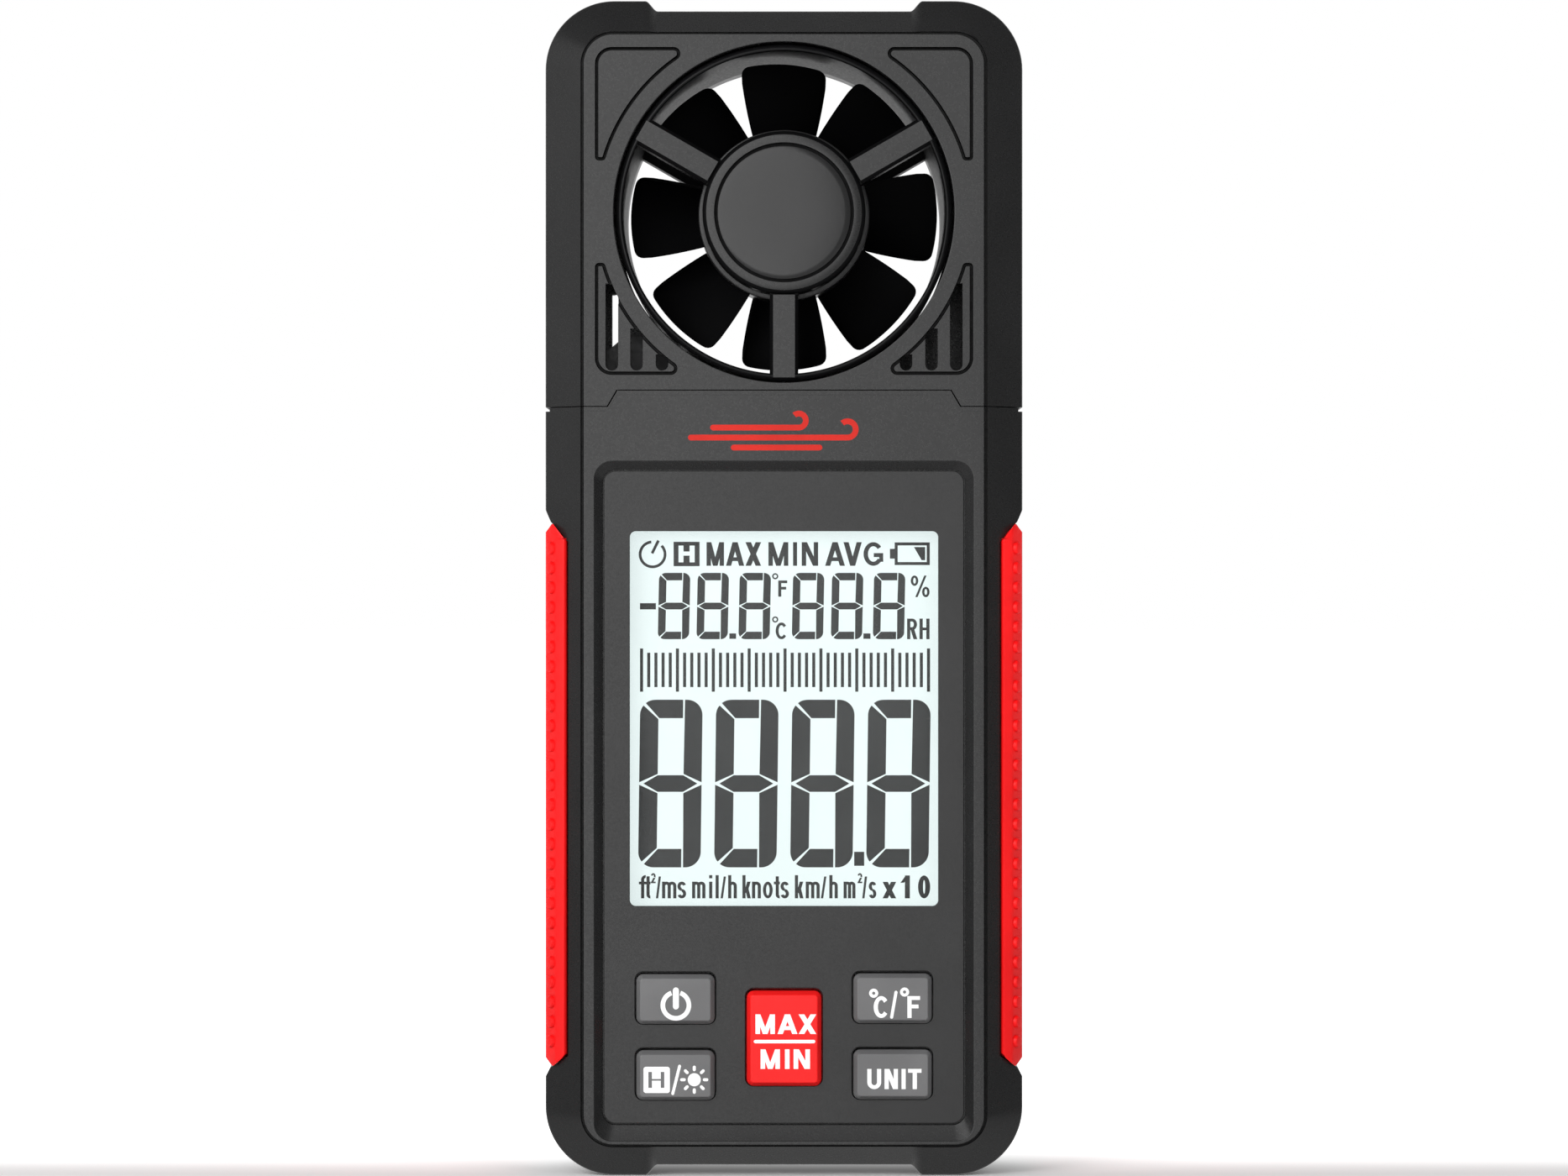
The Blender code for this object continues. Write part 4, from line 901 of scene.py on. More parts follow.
def letter(sign, w, h, t):
    """Strokes of one sign of a plain narrow alphabet, t thick, in a box w wide and h high."""
    x_height = h * 0.72                     # of the small letters
    turn = min(w / 2, x_height * 0.36)      # height of the arch of n and h
    half = (w + t) / 2                      # width of each arch of m
    arch = min(half / 2, x_height * 0.3)
    bar_t = t * 0.9                         # level strokes are a little thinner
    stem, far_stem = rect(0, t, 0, h), rect(w - t, w, 0, h)
    short_stem = rect(0, t, 0, x_height)
    arched = [bow(w / 2, x_height - turn, w / 2, turn, 0, 170, t), rect(w - t, w, 0, x_height - turn)]
    cross_bar = rect(0, w, x_height - t * 0.85, x_height)
    middle_bar = (h * 0.44, h * 0.44 + bar_t)
    oval = bow(w / 2, h / 2, w / 2, h / 2, 0, 360, t)
    signs = {
        "i": [short_stem, rect(0, t, h - t, h)],
        "l": [stem],
        "o": [bow(w / 2, x_height / 2, w / 2, x_height / 2, 0, 360, t)],
        "x": [slant(t * 0.6, 0, w - t * 0.6, x_height, t * 1.25),
              slant(w - t * 0.6, 0, t * 0.6, x_height, t * 1.25)],
        "k": [stem, slant(t, x_height * 0.32, w - t * 0.6, x_height, t * 1.1),
              slant(w - t * 0.55, 0, w * 0.5, x_height * 0.62, t * 1.1)],
        "n": [short_stem, *arched],
        "h": [stem, *arched],
        "m": [short_stem, rect(half - t, half, 0, x_height - arch), rect(w - t, w, 0, x_height - arch)]
        + [bow(x + half / 2, x_height - arch, half / 2, arch, 0, 170, t) for x in (0, half - t)],
        "f": [rect(w * 0.32, w * 0.32 + t, 0, h * 0.8), rect(0, w * 0.9, x_height - t * 0.85, x_height),
              bow(w * 0.32 + w * 0.66, h * 0.8, w * 0.66, h * 0.2, 85, 180, t)],
        "t": [rect(w * 0.3, w * 0.3 + t, h * 0.16, h * 0.95), cross_bar,
              bow(w * 0.3 + w * 0.64, h * 0.16, w * 0.64, h * 0.16, 180, 275, t)],
        "s": [bow(w / 2, x_height * 0.722, w / 2, x_height * 0.278, 20, 268, t),
              bow(w / 2, x_height * 0.278, w / 2, x_height * 0.278, 92, -160, t)],
        "A": [slant(t * 0.58, 0, w / 2, h, t * 1.16), slant(w - t * 0.58, 0, w / 2, h, t * 1.16),
              rect(w * 0.25, w * 0.75, h * 0.2, h * 0.2 + t * 0.85)],
        "C": [bow(w / 2, h / 2, w / 2, h / 2, 38, 322, t)],
        "F": [stem, rect(t, w, h - bar_t, h), rect(t, w * 0.88, *middle_bar)],
        "G": [bow(w / 2, h / 2, w / 2, h / 2, 38, 325, t), rect(w * 0.52, w, h * 0.37, h * 0.37 + bar_t),
              rect(w - bar_t, w, h * 0.17, h * 0.45)],
        "H": [stem, far_stem, rect(t, w - t, h * 0.5 - t * 0.42, h * 0.5 + t * 0.42)],
        "I": [rect(0, w, 0, h)],
        "M": [stem, far_stem, slant(t * 0.55, h, w / 2, 0, t * 1.05),
              slant(w - t * 0.55, h, w / 2, 0, t * 1.05)],
        "N": [stem, far_stem, slant(t * 0.6, h, w - t * 0.6, 0, t * 1.15)],
        "R": [stem, slant(w - t * 0.6, 0, w * 0.5, h * 0.5, t * 1.15), rect(t, w * 0.55, h - bar_t, h),
              rect(t, w * 0.55, *middle_bar), bow(w * 0.5, h * 0.72, w * 0.46, h * 0.28, -90, 90, t)],
        "T": [rect(0, w, h - bar_t, h), rect((w - t) / 2, (w + t) / 2, 0, h - bar_t)],
        "U": [rect(0, t, w / 2, h), rect(w - t, w, w / 2, h), bow(w / 2, w / 2, w / 2, w / 2, 180, 360, t)],
        "V": [slant(t * 0.58, h, w / 2, 0, t * 1.16), slant(w - t * 0.58, h, w / 2, 0, t * 1.16)],
        "X": [slant(t * 0.66, 0, w - t * 0.66, h, t * 1.25), slant(w - t * 0.66, 0, t * 0.66, h, t * 1.25)],
        "0": [oval],
        "1": [far_stem, slant(t * 0.2, h * 0.68, w - t * 0.6, h * 0.96, t * 0.7)],
        "2": [rect(0, w, 0, bar_t), slant(t * 0.7, t * 0.5, w - t * 0.7, h * 0.55, t * 1.2),
              bow(w / 2, h * 0.7, w / 2, h * 0.3, -25, 165, t)],
        "/": [slant(t / 2, 0, w - t / 2, h, t)],
        "%": [bow(w * 0.2, h * 0.76, w * 0.2, h * 0.24, 0, 360, t), slant(w * 0.3, 0, w * 0.78, h, t * 0.95),
              bow(w * 0.8, h * 0.24, w * 0.2, h * 0.24, 0, 360, t)],
    }
    return signs[sign]


def lettering(base, height, stroke, *signs):
    """Signs of one height on one base line, each as (sign, its left x, its right x)."""
    return [[(left + x, base + z) for x, z in outline] for sign, left, right in signs
            for outline in letter(sign, right - left, height, stroke)]


def print_on(name, y_face, thickness, finish, shapes, body, slot):
    """One thin printed piece of closed outlines, standing proud of the plane y_face."""
    bm = bmesh.new()
    for k, outline in enumerate(shapes):
        lift = thickness + PRINT_STEP * (k % 7)      # neighbours that overlap never share a plane
        add_loft(bm, [[(x, y, z) for x, z in outline] for y in (y_face - lift, y_face)])
    return place(new_object(name, bm, [finish]), body, slot)


def key_legends():
    (x, z), (near, far) = SUN, SUN_RAY_R
    sun = [arc(x, z, SUN_R, 0, 351, 39)]
    for c, s in arc(0, 0, 1, 0, 315, 7):
        sun.append(bar(x + near * c, z + near * s, x + far * c, z + far * s, 0.42, True))
    slash = bar(-15.05, 11.62, -14.13, 15.32, 0.40, True)
    prints = {
        "power_button": [ring_parts(-14.63, 23.56, 2.08, 1.45, 110, 430, 48),
                         bar(-14.63, 23.4, -14.63, 25.56, 0.82, True)],
        "hold_light_button": hold_symbol(-19.01, -15.44, 11.69, 15.24, 0.34) + sun + [slash],
        "temperature_unit_button": [ring_parts(12.13, 25.19, 0.614, 0.216),
                                    ring_parts(16.31, 25.35, 0.614, 0.216),
                                    bar(14.56, 21.95, 15.15, 25.32, 0.42, True)]
        + lettering(21.84, 2.96, 0.57, ("C", 12.13, 14.19), ("F", 16.69, 18.40)),
        "unit_button": lettering(12.22, 2.73, 0.57, ("U", 11.26, 13.15), ("N", 13.60, 15.41),
                                 ("I", 15.90, 16.46), ("T", 16.78, 18.60)),
        "max_min_button": [bar(-3.86, 18.65, 4.0, 18.65, 0.46, True)]
        + lettering(19.68, 2.65, 0.62, ("M", -3.86, -1.23), ("A", -0.88, 1.82), ("X", 1.95, 4.38))
        + lettering(14.95, 2.65, 0.62, ("M", -3.17, -0.55), ("I", 0.13, 0.75), ("N", 1.30, 3.51)),
    }
    for name, shapes in prints.items():
        slot = "key_red" if name == "max_min_button" else "key_grey"
        print_on(name.replace("_button", "_legend"), KEY_TOP_Y + 0.005, PRINT_RISE, "print", shapes,
                 KEYS[name][3], slot)


def hold_symbol(x0, x1, z0, z1, radius=0.0):
    """A filled box with the letter H left open in it, as the blocks round and between its strokes.

    The key's box has round corners; the display's is square and has a broader H.
    """
    w, h = x1 - x0, z1 - z0
    columns, rows = (((0.185, 0.32, 0.655, 0.79), (0.195, 0.47, 0.535, 0.805)) if radius else
                     ((0.19, 0.38, 0.616, 0.81), (0.158, 0.433, 0.60, 0.845)))
    legs = [x0 + w * share for share in columns]
    foot, low, high, head = (z0 + h * share for share in rows)
    if radius:
        lid = arc(x1 - radius, z1 - radius, radius, 0, 90, 8)
        lid += arc(x0 + radius, z1 - radius, radius, 90, 180, 8) + [(x0, head), (x1, head)]
        base = [(x, z0 + z1 - z) for x, z in lid]
    else:
        lid, base = rect(x0, x1, head, z1), rect(x0, x1, z0, foot)
    return [lid, base, rect(x0, legs[0], foot, head), rect(legs[3], x1, foot, head),
            rect(legs[1], legs[2], foot, low), rect(legs[1], legs[2], high, head)]


# ---------------------------------------------------------------- liquid crystal display

def seven_segments(x0, z0, width, height, stroke, corner, gap, lean=0.0125):
    """The seven bars of one digit, split by thin gaps, the whole leaning a little to the right."""
    mid, g, waist = height / 2, gap / 2, stroke * 0.45
    diagonal = g * 1.414
    under, joint = height - stroke, width - stroke
    flank_foot = mid + g * 0.9 + 0.02 * stroke
    # the upper bar runs from its slanted joint at the left to an upright one over the right-hand bars
    upper = arc(corner, height - corner, corner, 129, 93, 6)
    upper += [(joint - g, height), (joint - g, under), (stroke + diagonal * 0.7, under)]
    left = arc(corner, height - corner, corner, 141, 177, 6)
    left += [(0, flank_foot), (stroke, mid + waist + diagonal), (stroke, under - diagonal * 0.7)]
    right = [(joint + g, height)] + arc(width - corner, height - corner, corner, 90, 0, 15)
    right += [(width, flank_foot), (joint + g * 0.3, mid + waist + diagonal)]
    shapes = [upper, left, right]
    shapes += [[(x, height - z) for x, z in reversed(points)] for points in shapes]
    shapes.append([(stroke * 0.18 + g, mid), (stroke, mid + waist), (joint, mid + waist),
                   (width - stroke * 0.18 - g, mid), (joint, mid - waist), (stroke, mid - waist)])
    return [[(x0 + x + lean * (z - mid), z0 + z) for x, z in points] for points in shapes]


# Lines of small signs: base line, height, stroke, and each sign with its left and right x
UNITS_Z = 38.02
DISPLAY_LETTERING = (
    (83.0, 3.2, 0.6, ("M", -10.48, -8.12), ("A", -7.85, -5.38), ("X", -5.24, -3.07), ("M", -2.11, 0.58),
     ("I", 1.22, 1.77), ("N", 2.40, 4.62), ("A", 5.56, 8.25), ("V", 8.05, 10.52), ("G", 10.76, 13.42)),
    (78.82, 2.2, 0.41, ("F", -0.78, 0.44)),
    (73.07, 2.27, 0.41, ("C", -1.13, 0.44)),
    (78.76, 2.93, 0.33, ("%", 17.15, 19.69)),
    (73.07, 2.79, 0.44, ("R", 16.65, 18.05), ("H", 18.33, 19.69)),
    (40.07, 1.36, 0.24, ("2", -18.01, -17.37), ("2", 9.96, 10.58)),
    (UNITS_Z, 2.96, 0.31, ("/", -17.33, -16.65), ("/", -8.58, -7.85), ("/", 4.99, 5.74),
     ("/", 10.58, 11.24)),
    (UNITS_Z, 3.14, 0.43, ("f", -19.63, -18.72), ("t", -18.84, -18.06), ("m", -16.50, -14.56),
     ("s", -14.42, -13.24), ("m", -12.44, -10.63), ("i", -10.13, -9.76), ("l", -9.26, -8.89),
     ("h", -7.56, -6.38), ("k", -5.63, -4.49), ("n", -4.33, -3.13), ("o", -2.85, -1.53),
     ("t", -1.37, -0.56), ("s", -0.47, 0.67), ("k", 1.47, 2.63), ("m", 2.94, 4.83), ("h", 6.13, 7.28),
     ("m", 8.06, 9.67), ("s", 11.47, 12.49)),
    (UNITS_Z, 3.1, 0.68, ("1", 15.85, 17.03), ("0", 18.13, 19.78)),
    (UNITS_Z, 3.1, 0.56, ("x", 13.35, 15.17)),
)


def display_symbols():
    """Everything the display can show, sized as it looks in the plane of the case's face."""
    # first row: power sign, hold sign and battery sign
    shapes = [ring_parts(-17.78, 84.55, 1.875, 1.5, 96, 404, 48), bar(-17.85, 84.68, -16.99, 86.42, 0.38)]
    shapes += hold_symbol(-14.94, -11.42, 82.95, 86.25)
    left, right, low, high, wall = 14.97, 19.72, 83.1, 86.17, 0.41
    shapes += [rect(left, right, low, low + wall), rect(left, right, high - wall, high),
               rect(left, left + wall, low + wall, high - wall),
               rect(right - wall, right, low + wall, high - wall), rect(14.33, left, 83.97, 85.3),
               [(17.58, 85.54), (18.62, 83.76), (19.09, 83.76), (19.09, 85.54)]]
    # second row: minus sign, temperature and humidity digits, points and degree signs
    shapes.append(rect(-19.49, -17.33, 77.10, 77.95))
    for x in (-16.99, -11.76, -6.08, 1.14, 6.42, 12.10):
        shapes += seven_segments(x, 73.07, 4.23, 8.98, 1.02, 0.95, 0.13, 0.02)
    shapes += [rect(-7.39, -6.48, 73.12, 73.86), rect(10.74, 11.70, 73.12, 73.86)]
    shapes += [ring_parts(-1.19, z, 0.42, 0.22, steps=20) for z in (81.59, 75.74)]
    # third row: bar graph, every fifth line of which is longer
    first, last, count = -19.27, 19.55, 41
    for i in range(count):
        x = first + (last - first) * i / (count - 1)
        span = (65.97, 71.82) if i % 5 == 0 else (66.59, 71.25)
        shapes.append(rect(x - 0.21, x + 0.21, *span))
    # fourth row: large digits and point
    for x in (-19.60, -9.32, 0.97, 11.25):
        shapes += seven_segments(x, 42.21, 8.45, 22.68, 2.5, 2.1, 0.25)
    shapes.append(rect(9.49, 10.85, 42.42, 44.32))
    for line in DISPLAY_LETTERING:
        shapes += lettering(*line)
    return shapes


def display():
    for name, outline, (back, front), finish, cad in (
            ("display_lens", LENS, LENS_Y[::-1], "lens", "display_window"),
            ("lcd_glass", LCD, LCD_Y[::-1], "lcd", "lcd_panel")):
        sheet = stack(name, lambda grow: rounded_rect(*outline, grow=grow),
                      ((back, 0.0), (front + 0.1, 0.0), (front, -0.1)), [finish])
        place(sheet, CASE, "clear_lens" if finish == "lens" else "lcd_glass", cad)
    # the figures lie further back than the face they were sized on, so they are that much larger
    size = (LCD_Y[0] - 0.03 - CAMERA_Y) / (-FACE_Y - CAMERA_Y)
    shapes = [[(x * size, CAMERA_Z + (z - CAMERA_Z) * size) for x, z in points]
              for points in display_symbols()]
    print_on("display_figures", LCD_Y[0] + 0.01, 0.04, "segment", shapes, CASE, "lcd_glass")


def face_mark():
    """A plain printed sign for moving air: three streaks, two of which curl up at the end."""
    shapes = []
    for z, x0, x1, curl in MARK_STREAKS:
        shapes.append(bar(x0, z, x1, z, MARK_STROKE, rounded=True))
        if curl:
            outer = curl + MARK_STROKE / 2
            shapes.append(ring_parts(x1, z + curl, outer, outer - MARK_STROKE, -90, 130, 30))
    return shapes


# ---------------------------------------------------------------- vane

def sided(side, profile):
    """A profile of (radius, depth) as (radius, y), for the front or the rear."""
    return [(radius, side * depth) for radius, depth in profile]


def duct_ring(name, side, cad):
    profile = sided(side, (
        (BORE_R, 0.0), (BORE_R, 4.5), (BORE_R, DUCT_GLOSS_Y), (BORE_R, 13.3), (BORE_R + 0.03, 13.62),
        (BORE_R + 0.11, 13.86), (BORE_R + 0.22, 13.97), (LIP_R, 14.0), (LIP_R + 0.14, 13.96),
        (LIP_R + 0.32, 13.8), (FRAME_R - 0.02, 13.45), (FRAME_R, 13.2), (FRAME_R, 0.0)))
    ring = turned(name, profile, (0, VANE_Z), ["gloss", "matt"], sides=200)
    matt_to = DUCT_GLOSS_Y if side > 0 else 13.9           # only the far end of the bore is glossy
    paint(ring, lambda centre, normal: abs(centre.y) < matt_to
          and math.hypot(centre.x, centre.z - VANE_Z) < BORE_R + 0.2, 1)
    place(ring, CASE, "duct_black", cad)


def spoke(side, angle):
    """One spoke with a broad flat face, a bevel down each edge and straight flanks."""
    half, flat = SPOKE_WIDTH / 2, SPOKE_FACE / 2
    top, foot = SPOKE_Y
    flank = [(flat, top), (flat + 0.05, top - 0.02), (half - 0.05, top - 0.42), (half, top - 0.5),
             (half, foot + 0.25), (half - 0.07, foot + 0.07), (half - 0.25, foot)]
    section = [(-flat, top)] + flank + [(-x, y) for x, y in flank[:0:-1]]
    along = Vector((math.cos(math.radians(angle)), 0, math.sin(math.radians(angle))))
    across = Vector((-along.z, 0, along.x))
    middle = Vector((0, 0, VANE_Z))
    low = HUB_FRONT_Y - 0.75                      # the face stops short of the hub's bevelled edge
    stations = ((HUB_R - 1.2, low), (HUB_R + 0.06, low), (HUB_R + 0.1, top), (FRAME_R - 0.45, top))
    rings = [[middle + along * radius + across * x + Vector((0, side * min(y, limit), 0))
              for x, y in section] for radius, limit in stations]
    return loft("spoke", rings, ["case", "matt"])


def spider(name, side, cad, cup_y, boss_y):
    """The hub cup, whose rim and bearing boss end at these depths, and its three spokes."""
    face, trench = HUB_FRONT_Y, HUB_FRONT_Y - 0.78
    profile = sided(side, (
        (0, face - 0.9), (CAP_R - 0.05, face - 0.9), (CAP_R - 0.05, trench), (CAP_SEAT_R, trench),
        (CAP_SEAT_R, face - 0.06), (CAP_SEAT_R + 0.05, face), (HUB_FACE_R, face),
        (HUB_FACE_R + 0.06, face - 0.03), (HUB_R - 0.05, face - 0.45), (HUB_R, face - 0.55),
        (HUB_R, cup_y + 0.15), (HUB_R - 0.15, cup_y), (9.6, cup_y), (9.6, face - 1.6), (4.2, face - 1.6),
        (4.2, boss_y), (3.1, boss_y), (3.1, boss_y + 2.1), (1.15, boss_y + 2.1), (1.15, boss_y + 3.1),
        (0, boss_y + 3.1)))
    hub = turned(name, profile, (0, VANE_Z), ["case", "matt"], sides=160)
    for angle in SPOKE_ANGLES:
        join(hub, spoke(side, angle))
    paint(hub, lambda centre, normal: True, 1)
    paint(hub, lambda centre, normal: normal.y * side > 0.97 and abs(centre.y) > 13.9, 0)
    place(hub, CASE, "duct_black", cad)


def hub_cap(name, side, cad):
    """Cap with a shallow crown and a rounded rim."""
    rim, rim_y = CAP_R - 0.09, 14.0
    profile = [(0, 13.5), (CAP_R - 0.1, 13.5), (CAP_R, 13.58), (CAP_R, 13.86), (CAP_R - 0.02, 13.95),
               (rim, rim_y)]
    for i in range(1, 13):
        r = rim * (1 - i / 12.5)
        profile.append((r, rim_y + CAP_CROWN * (1 - (r / CAP_R) ** 3)))
    profile = sided(side, profile + [(0, rim_y + CAP_CROWN)])
    place(turned(name, profile, (0, VANE_Z), ["cap"], sides=160), CASE, "case_black", cad)


def blade(index):
    """One blade: a thin helical sector with rounded tip corners and a softened rim."""
    across, along = 26, 8
    centre_angle = math.radians(90 + 360 * index / BLADE_COUNT)
    root_r = ROTOR_HUB_R - 0.5
    rings = []
    for i in range(across + 1):
        u = -math.cos(math.pi * i / across)
        tip_half = ROTOR_R * math.radians(BLADE_TIP_ANGLE)
        into = max(0.0, abs(u) * tip_half - (tip_half - BLADE_CORNER_R))
        tip_r = ROTOR_R - BLADE_CORNER_R + math.sqrt(max(0.0, BLADE_CORNER_R ** 2 - into ** 2))
        slim = 1.0 if 0 < i < across else 0.45
        front, back = [], []
        for j in range(along + 1):
            v = j / along
            radius = root_r + (tip_r - root_r) * v
            half_angle = math.radians(BLADE_ROOT_ANGLE + (BLADE_TIP_ANGLE - BLADE_ROOT_ANGLE) * v)
            pitch = math.atan2(BLADE_HALF_DEPTH, radius * half_angle)
            rim = slim * (0.5 if j == along else 1.0)
            for row, side in ((front, -1), (back, 1)):
                shift = side * rim * BLADE_THICKNESS / 2
                angle = centre_angle - u * half_angle - shift * math.sin(pitch) / radius
                y = BLADE_Y + u * BLADE_HALF_DEPTH + shift * math.cos(pitch)
                row.append((radius * math.cos(angle), y, VANE_Z + radius * math.sin(angle)))
        rings.append(front + list(reversed(back)))
    return loft("blade", rings, ["blade", "hub"])


def rotor():
    front, back = ROTOR_HUB_Y
    r = ROTOR_HUB_R
    profile = [(0.95, front + 0.4), (3.4, front + 0.4), (3.4, front + 2.9), (9.4, front + 2.9),
               (9.4, front + 0.1), (9.5, front), (r - 0.4, front), (r - 0.12, front + 0.12),
               (r, front + 0.4), (r, back - 0.2), (r - 0.2, back), (10.4, back), (10.4, front + 4.2),
               (3.4, front + 4.2), (3.4, back), (0.95, back)]
    made = turned("vane_wheel", profile, (0, VANE_Z), ["blade", "hub"], sides=144)
    paint(made, lambda centre, normal: True, 1)
    for index in range(BLADE_COUNT):
        join(made, blade(index))
    place(made, "rotor", "rotor_black", "vane_rotor")


# ---------------------------------------------------------------- battery door and screws

def battery_door():
    """The door's slab, its rounded heel, two lugs, and a finger pad with bars and an arrow."""
    half, _, high = DOOR
    axis_y, axis_z = DOOR_AXIS
    inner, outer = DOOR_Y
    stations = ((inner, 0.0), (outer - 0.3, 0.0), (outer - 0.1, -0.07), (outer, -0.28))
    slab = stack("battery_cover", lambda grow: rounded_rect(half, axis_z - 0.6, high, 1.1, grow), stations,
                 ["case"])
    heel = [[(x, y, z) for y, z in arc(axis_y, axis_z, r, 0, 348, 29)]
            for x, r in ((-half, 1.1), (-half + 0.2, 1.3), (half - 0.2, 1.3), (half, 1.1))]
    join(slab, loft("heel", heel))
    for x in (-12.0, 12.0):
        lug = [(12.0, axis_z + 1.2), (13.2, axis_z + 1.2), (13.2, axis_z - 0.6), (12.2, axis_z - 0.9),
               (12.2, axis_z - 3.0), (11.0, axis_z - 3.0), (11.0, axis_z)]
        lug = loft("lug", [[(end, y, z) for y, z in lug] for end in (x - 2, x + 2)])
        join(slab, lug)
    pad_z, pad_x, pad_rise = PAD
    turns = [2 * math.pi * k / 72 for k in range(72)]
    dish = [[(pad_x * s * math.cos(a), y, pad_z + pad_rise * s * math.sin(a)) for a in turns]
            for s, y in ((1.09, 15.2), (1.02, FACE_Y), (0.985, 14.38), (0.93, 14.05))]
    carve(slab, loft("dish", dish))
    foot = PAD_BAR_Y
    for k in range(-2, 3):
        z = pad_z + k * PAD_PITCH
        reach = 8.0 * math.sqrt(max(0.0, 1 - (k * PAD_PITCH / pad_rise) ** 2))
        section = [(14.0 + 0.42 * math.sin(math.radians(a)), z + 0.34 * math.cos(math.radians(a)))
                   for a in range(0, 181, 20)] + [(foot, z - 0.34), (foot, z + 0.34)]
        bars = [[(x, foot + (y - foot) * s, zz) for y, zz in section]
                for x, s in ((-reach, 0.4), (-reach + 0.4, 1.0), (reach - 0.4, 1.0), (reach, 0.4))]
        join(slab, loft("rib", bars))
    carve(slab, box("arrow", (-0.9, 0.9), (foot, 15.0), (56.8, 60.2)),
          prism_y("arrow_head", [(-2.8, 57.2), (0.0, 53.6), (2.8, 57.2)], foot, 15.0))
    place(slab, "door", "case_black", "battery_door")


def screws():
    """Pan heads with a cross recess, each on its threaded shank."""
    seat, rim = SCREW_SEAT_Y, SCREW_SEAT_Y + 0.9
    profile = [(0, -5.5), (0.35, -5.5), (1.02, -4.3)]
    for k in range(15):
        y = -4.3 + 0.8 * k
        profile += [(1.0, y), (1.14, y + 0.35), (1.0, y + 0.7)]
    profile += [(1.0, seat), (SCREW_HEAD_R, seat), (SCREW_HEAD_R, rim)]
    profile += [(SCREW_HEAD_R * math.cos(math.radians(a)), rim + 0.65 * math.sin(math.radians(a)))
                for a in (18, 36, 54, 72)]
    profile.append((0, seat + 1.57))
    corners = ((-1, -1), (1, -1), (1, 1), (-1, 1))
    for name, (x, z) in {**BODY_SCREWS, **HEAD_SCREWS}.items():
        head = turned(name + "_pan", profile, (x, z), ["steel"], sides=36)
        for wide, slim in ((0.24, 1.15), (1.15, 0.24)):
            ring = [[(x + sx * wide * s, y, z + sz * slim * s) for sx, sz in corners]
                    for s, y in ((1.0, seat + 2.0), (0.8, seat + 0.75))]
            carve(head, loft("cross", ring))
        place(head, CASE, "steel", name)


# ---------------------------------------------------------------- carried-over CAD nodes

CAD_FINISHES = {
    "board": ["main_board", "rotation_sensor_board"],
    "dark_board": ["air_sensor_board"],
    "chip": ["microcontroller", "hall_sensor", "humidity_sensor"],
    "white": ["lcd_frame", "sensor_connector", "backlight_led_strip"],
    "light": ["backlight_panel"],
    "rubber": ["keypad_mat", "lcd_connector_strip"],
    "cell": ["battery_1", "battery_3"],
    "turned_cell": ["battery_2"],
    "nickel": ["battery_spring_1", "battery_spring_2", "battery_spring_3", "lower_contact_link",
               "upper_contact_link", "negative_contact", "positive_contact"],
    "steel": ["front_bearing", "rear_bearing", "neck_screw_1", "neck_screw_2", "quartz_crystal",
              "rotor_shaft"],
    "magnet": ["rotor_magnet"],
    "cable": ["air_sensor_cable", "vane_sensor_cable"],
}


def carried_over():
    for finish, names in CAD_FINISHES.items():
        for name in names:
            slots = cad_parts[name].data.materials
            if not slots:
                slots.append(FINISHES[finish])
            for i in range(len(slots)):
                slots[i] = FINISHES[finish]


# ---------------------------------------------------------------- floor, light and camera

def area_light(name, position, target, size, power, glossy):
    data = bpy.data.lights.new(name, "AREA")
    data.shape = "RECTANGLE"
    data.size, data.size_y = size[0] * MM, size[1] * MM
    data.energy = power
    made = bpy.data.objects.new(name, data)
    made.location = Vector(position) * MM
    direction = (Vector(target) - Vector(position)).normalized()
    made.rotation_euler = direction.to_track_quat("-Z", "Y").to_euler()
    made.visible_camera = False
    made.visible_glossy = glossy
    bpy.context.scene.collection.objects.link(made)


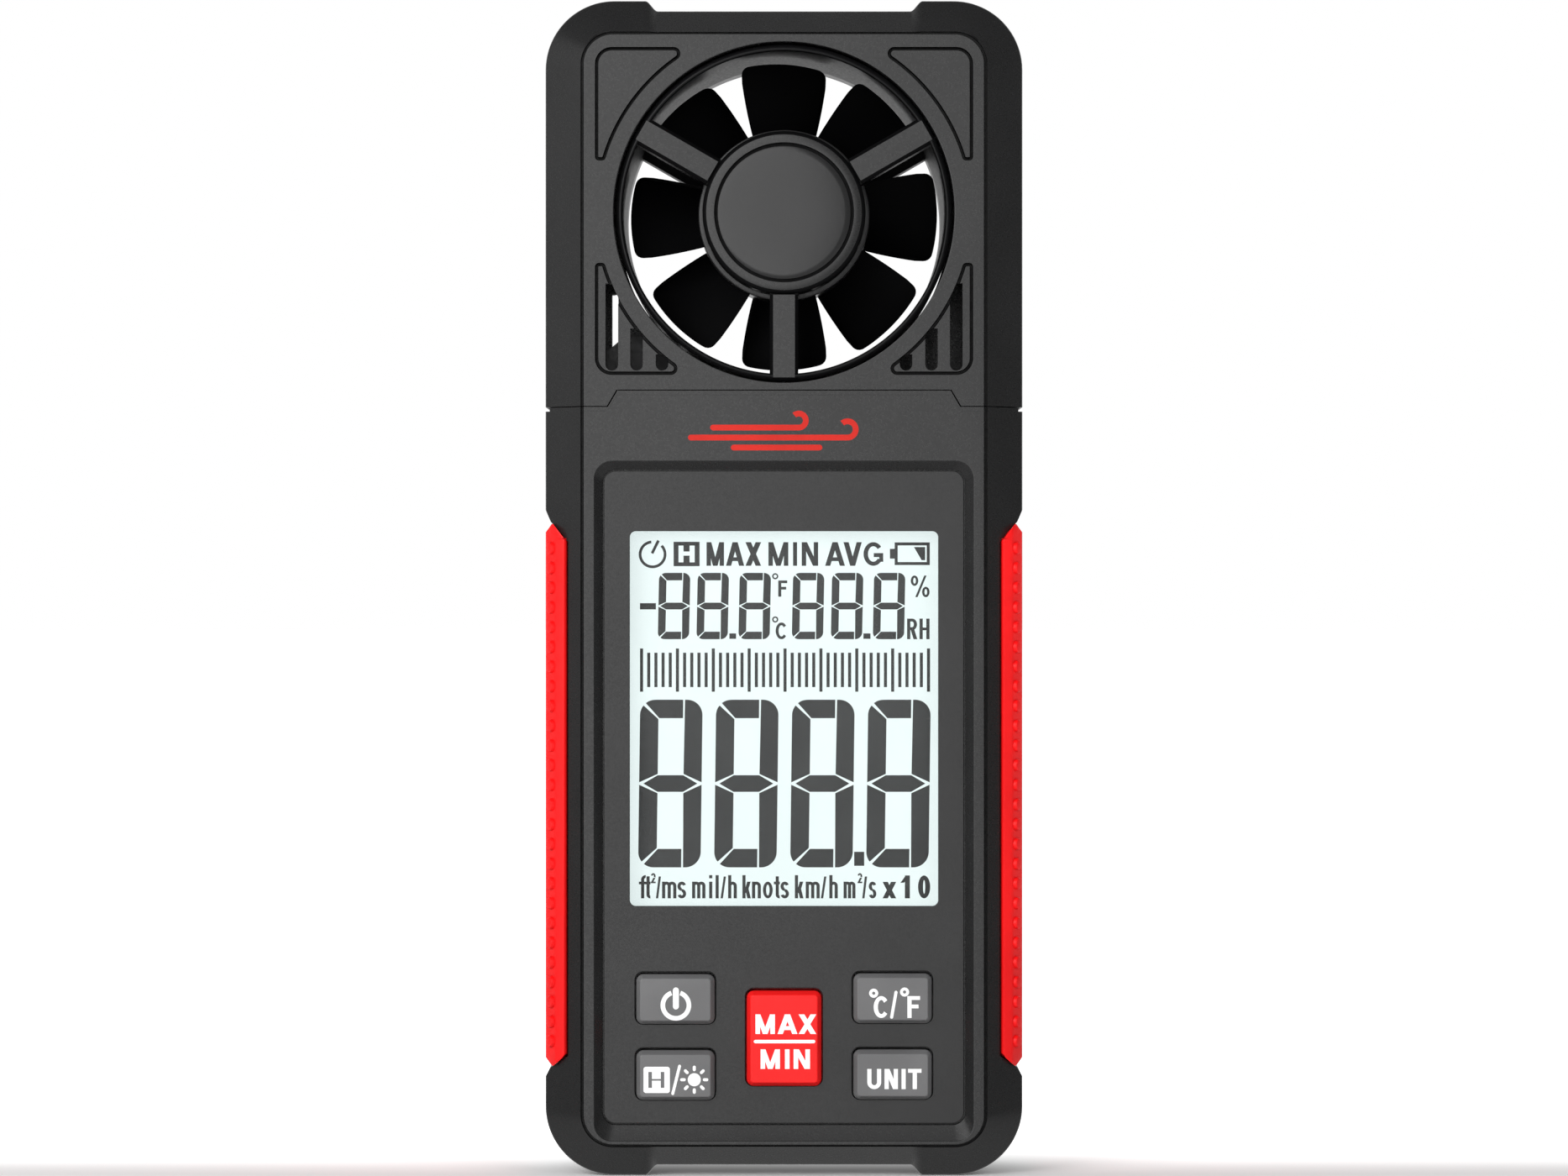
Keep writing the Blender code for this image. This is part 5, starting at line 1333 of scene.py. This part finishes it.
def studio_floor():
    """A white table that gives off a little light round the meter and more behind and far from it."""
    bm = bmesh.new()
    rows = []
    for i in range(1, FLOOR_RINGS + 1):
        outline = arc(0, 0, FLOOR_RADIUS * (i / FLOOR_RINGS) ** 2, 0, 360, FLOOR_SIDES)[:-1]
        rows.append([bm.verts.new((x, y, 0)) for x, y in outline])
    bm.faces.new(rows[0])
    for a, b in zip(rows, rows[1:]):
        for k in range(FLOOR_SIDES):
            j = (k + 1) % FLOOR_SIDES
            bm.faces.new((a[k], b[k], b[j], a[j]))
    tree = FINISHES["floor"].node_tree
    shader = tree.nodes["Principled BSDF"]
    behind = gradient(tree, "Y", *FLOOR_RISE, "Object", smooth=True)
    away = node(tree, "VectorMath", {0: coordinates(tree)})
    away.operation = "LENGTH"
    far = map_range(tree, away.outputs["Value"], *FLOOR_FAR, smooth=True)
    feed(tree, shader, Emission_Strength=map_range(tree, larger(tree, behind, far), 0, 1, *FLOOR_GLOW))
    shader.inputs["Emission Color"].default_value = (1, 1, 1, 1)
    floor = new_object("studio_floor", bm, ["floor"])
    floor.location.z = FLOOR_Z
    floor.visible_glossy = False


def studio_world():
    """White to the camera; as a light, bright behind the meter, softer below and dim elsewhere."""
    world = bpy.data.worlds.new("studio")
    bpy.context.scene.world = world
    world.use_nodes = True
    tree = world.node_tree
    tree.nodes.clear()
    behind = gradient(tree, "Y", *WORLD_BEHIND, low=WORLD_GLOW[0], high=WORLD_GLOW[1], smooth=True)
    below = gradient(tree, "Z", *WORLD_BELOW, high=LOW_GLOW, smooth=True)
    seen = node(tree, "LightPath").outputs["Is Camera Ray"]
    strength = node(tree, "MapRange", {"Value": seen, "To Min": larger(tree, behind, below)}, To_Max=1.0)
    background = node(tree, "Background", {"Strength": strength.outputs["Result"]}, Color=(1, 1, 1, 1))
    node(tree, "OutputWorld", {"Surface": background.outputs["Background"]})


def studio():
    bpy.context.scene.view_settings.view_transform = "Standard"
    studio_floor()
    studio_world()
    for light in LIGHTS:
        area_light(*light)


def camera():
    data = bpy.data.cameras.new("camera")
    data.sensor_width = SENSOR_MM
    data.lens = LENS_MM
    data.clip_start, data.clip_end = 0.01, 100.0
    made = bpy.data.objects.new("camera", data)
    made.location = Vector((0, CAMERA_Y, CAMERA_Z)) * MM
    made.rotation_euler = (math.radians(90), 0, 0)
    bpy.context.scene.collection.objects.link(made)
    bpy.context.scene.camera = made


def main():
    studio()
    camera()
    head_covers()
    body_front()
    body_rear()
    grip("left_grip_rubber", -1, "left_grip")
    grip("right_grip_rubber", 1, "right_grip")
    faceplate()
    keys()
    key_legends()
    display()
    print_on("face_print", MARK_Y, PRINT_RISE, "mark", face_mark(), CASE, "key_red")
    duct_ring("front_duct", -1, "front_vane_frame")
    duct_ring("rear_duct", 1, "rear_vane_frame")
    spider("front_spider", -1, "front_vane_frame", 8.7, 8.9)
    spider("rear_spider", 1, "rear_vane_frame", 1.2, 1.6)
    hub_cap("front_cap", -1, "front_hub_cap")
    hub_cap("rear_cap", 1, "rear_hub_cap")
    rotor()
    battery_door()
    screws()
    carried_over()


main()
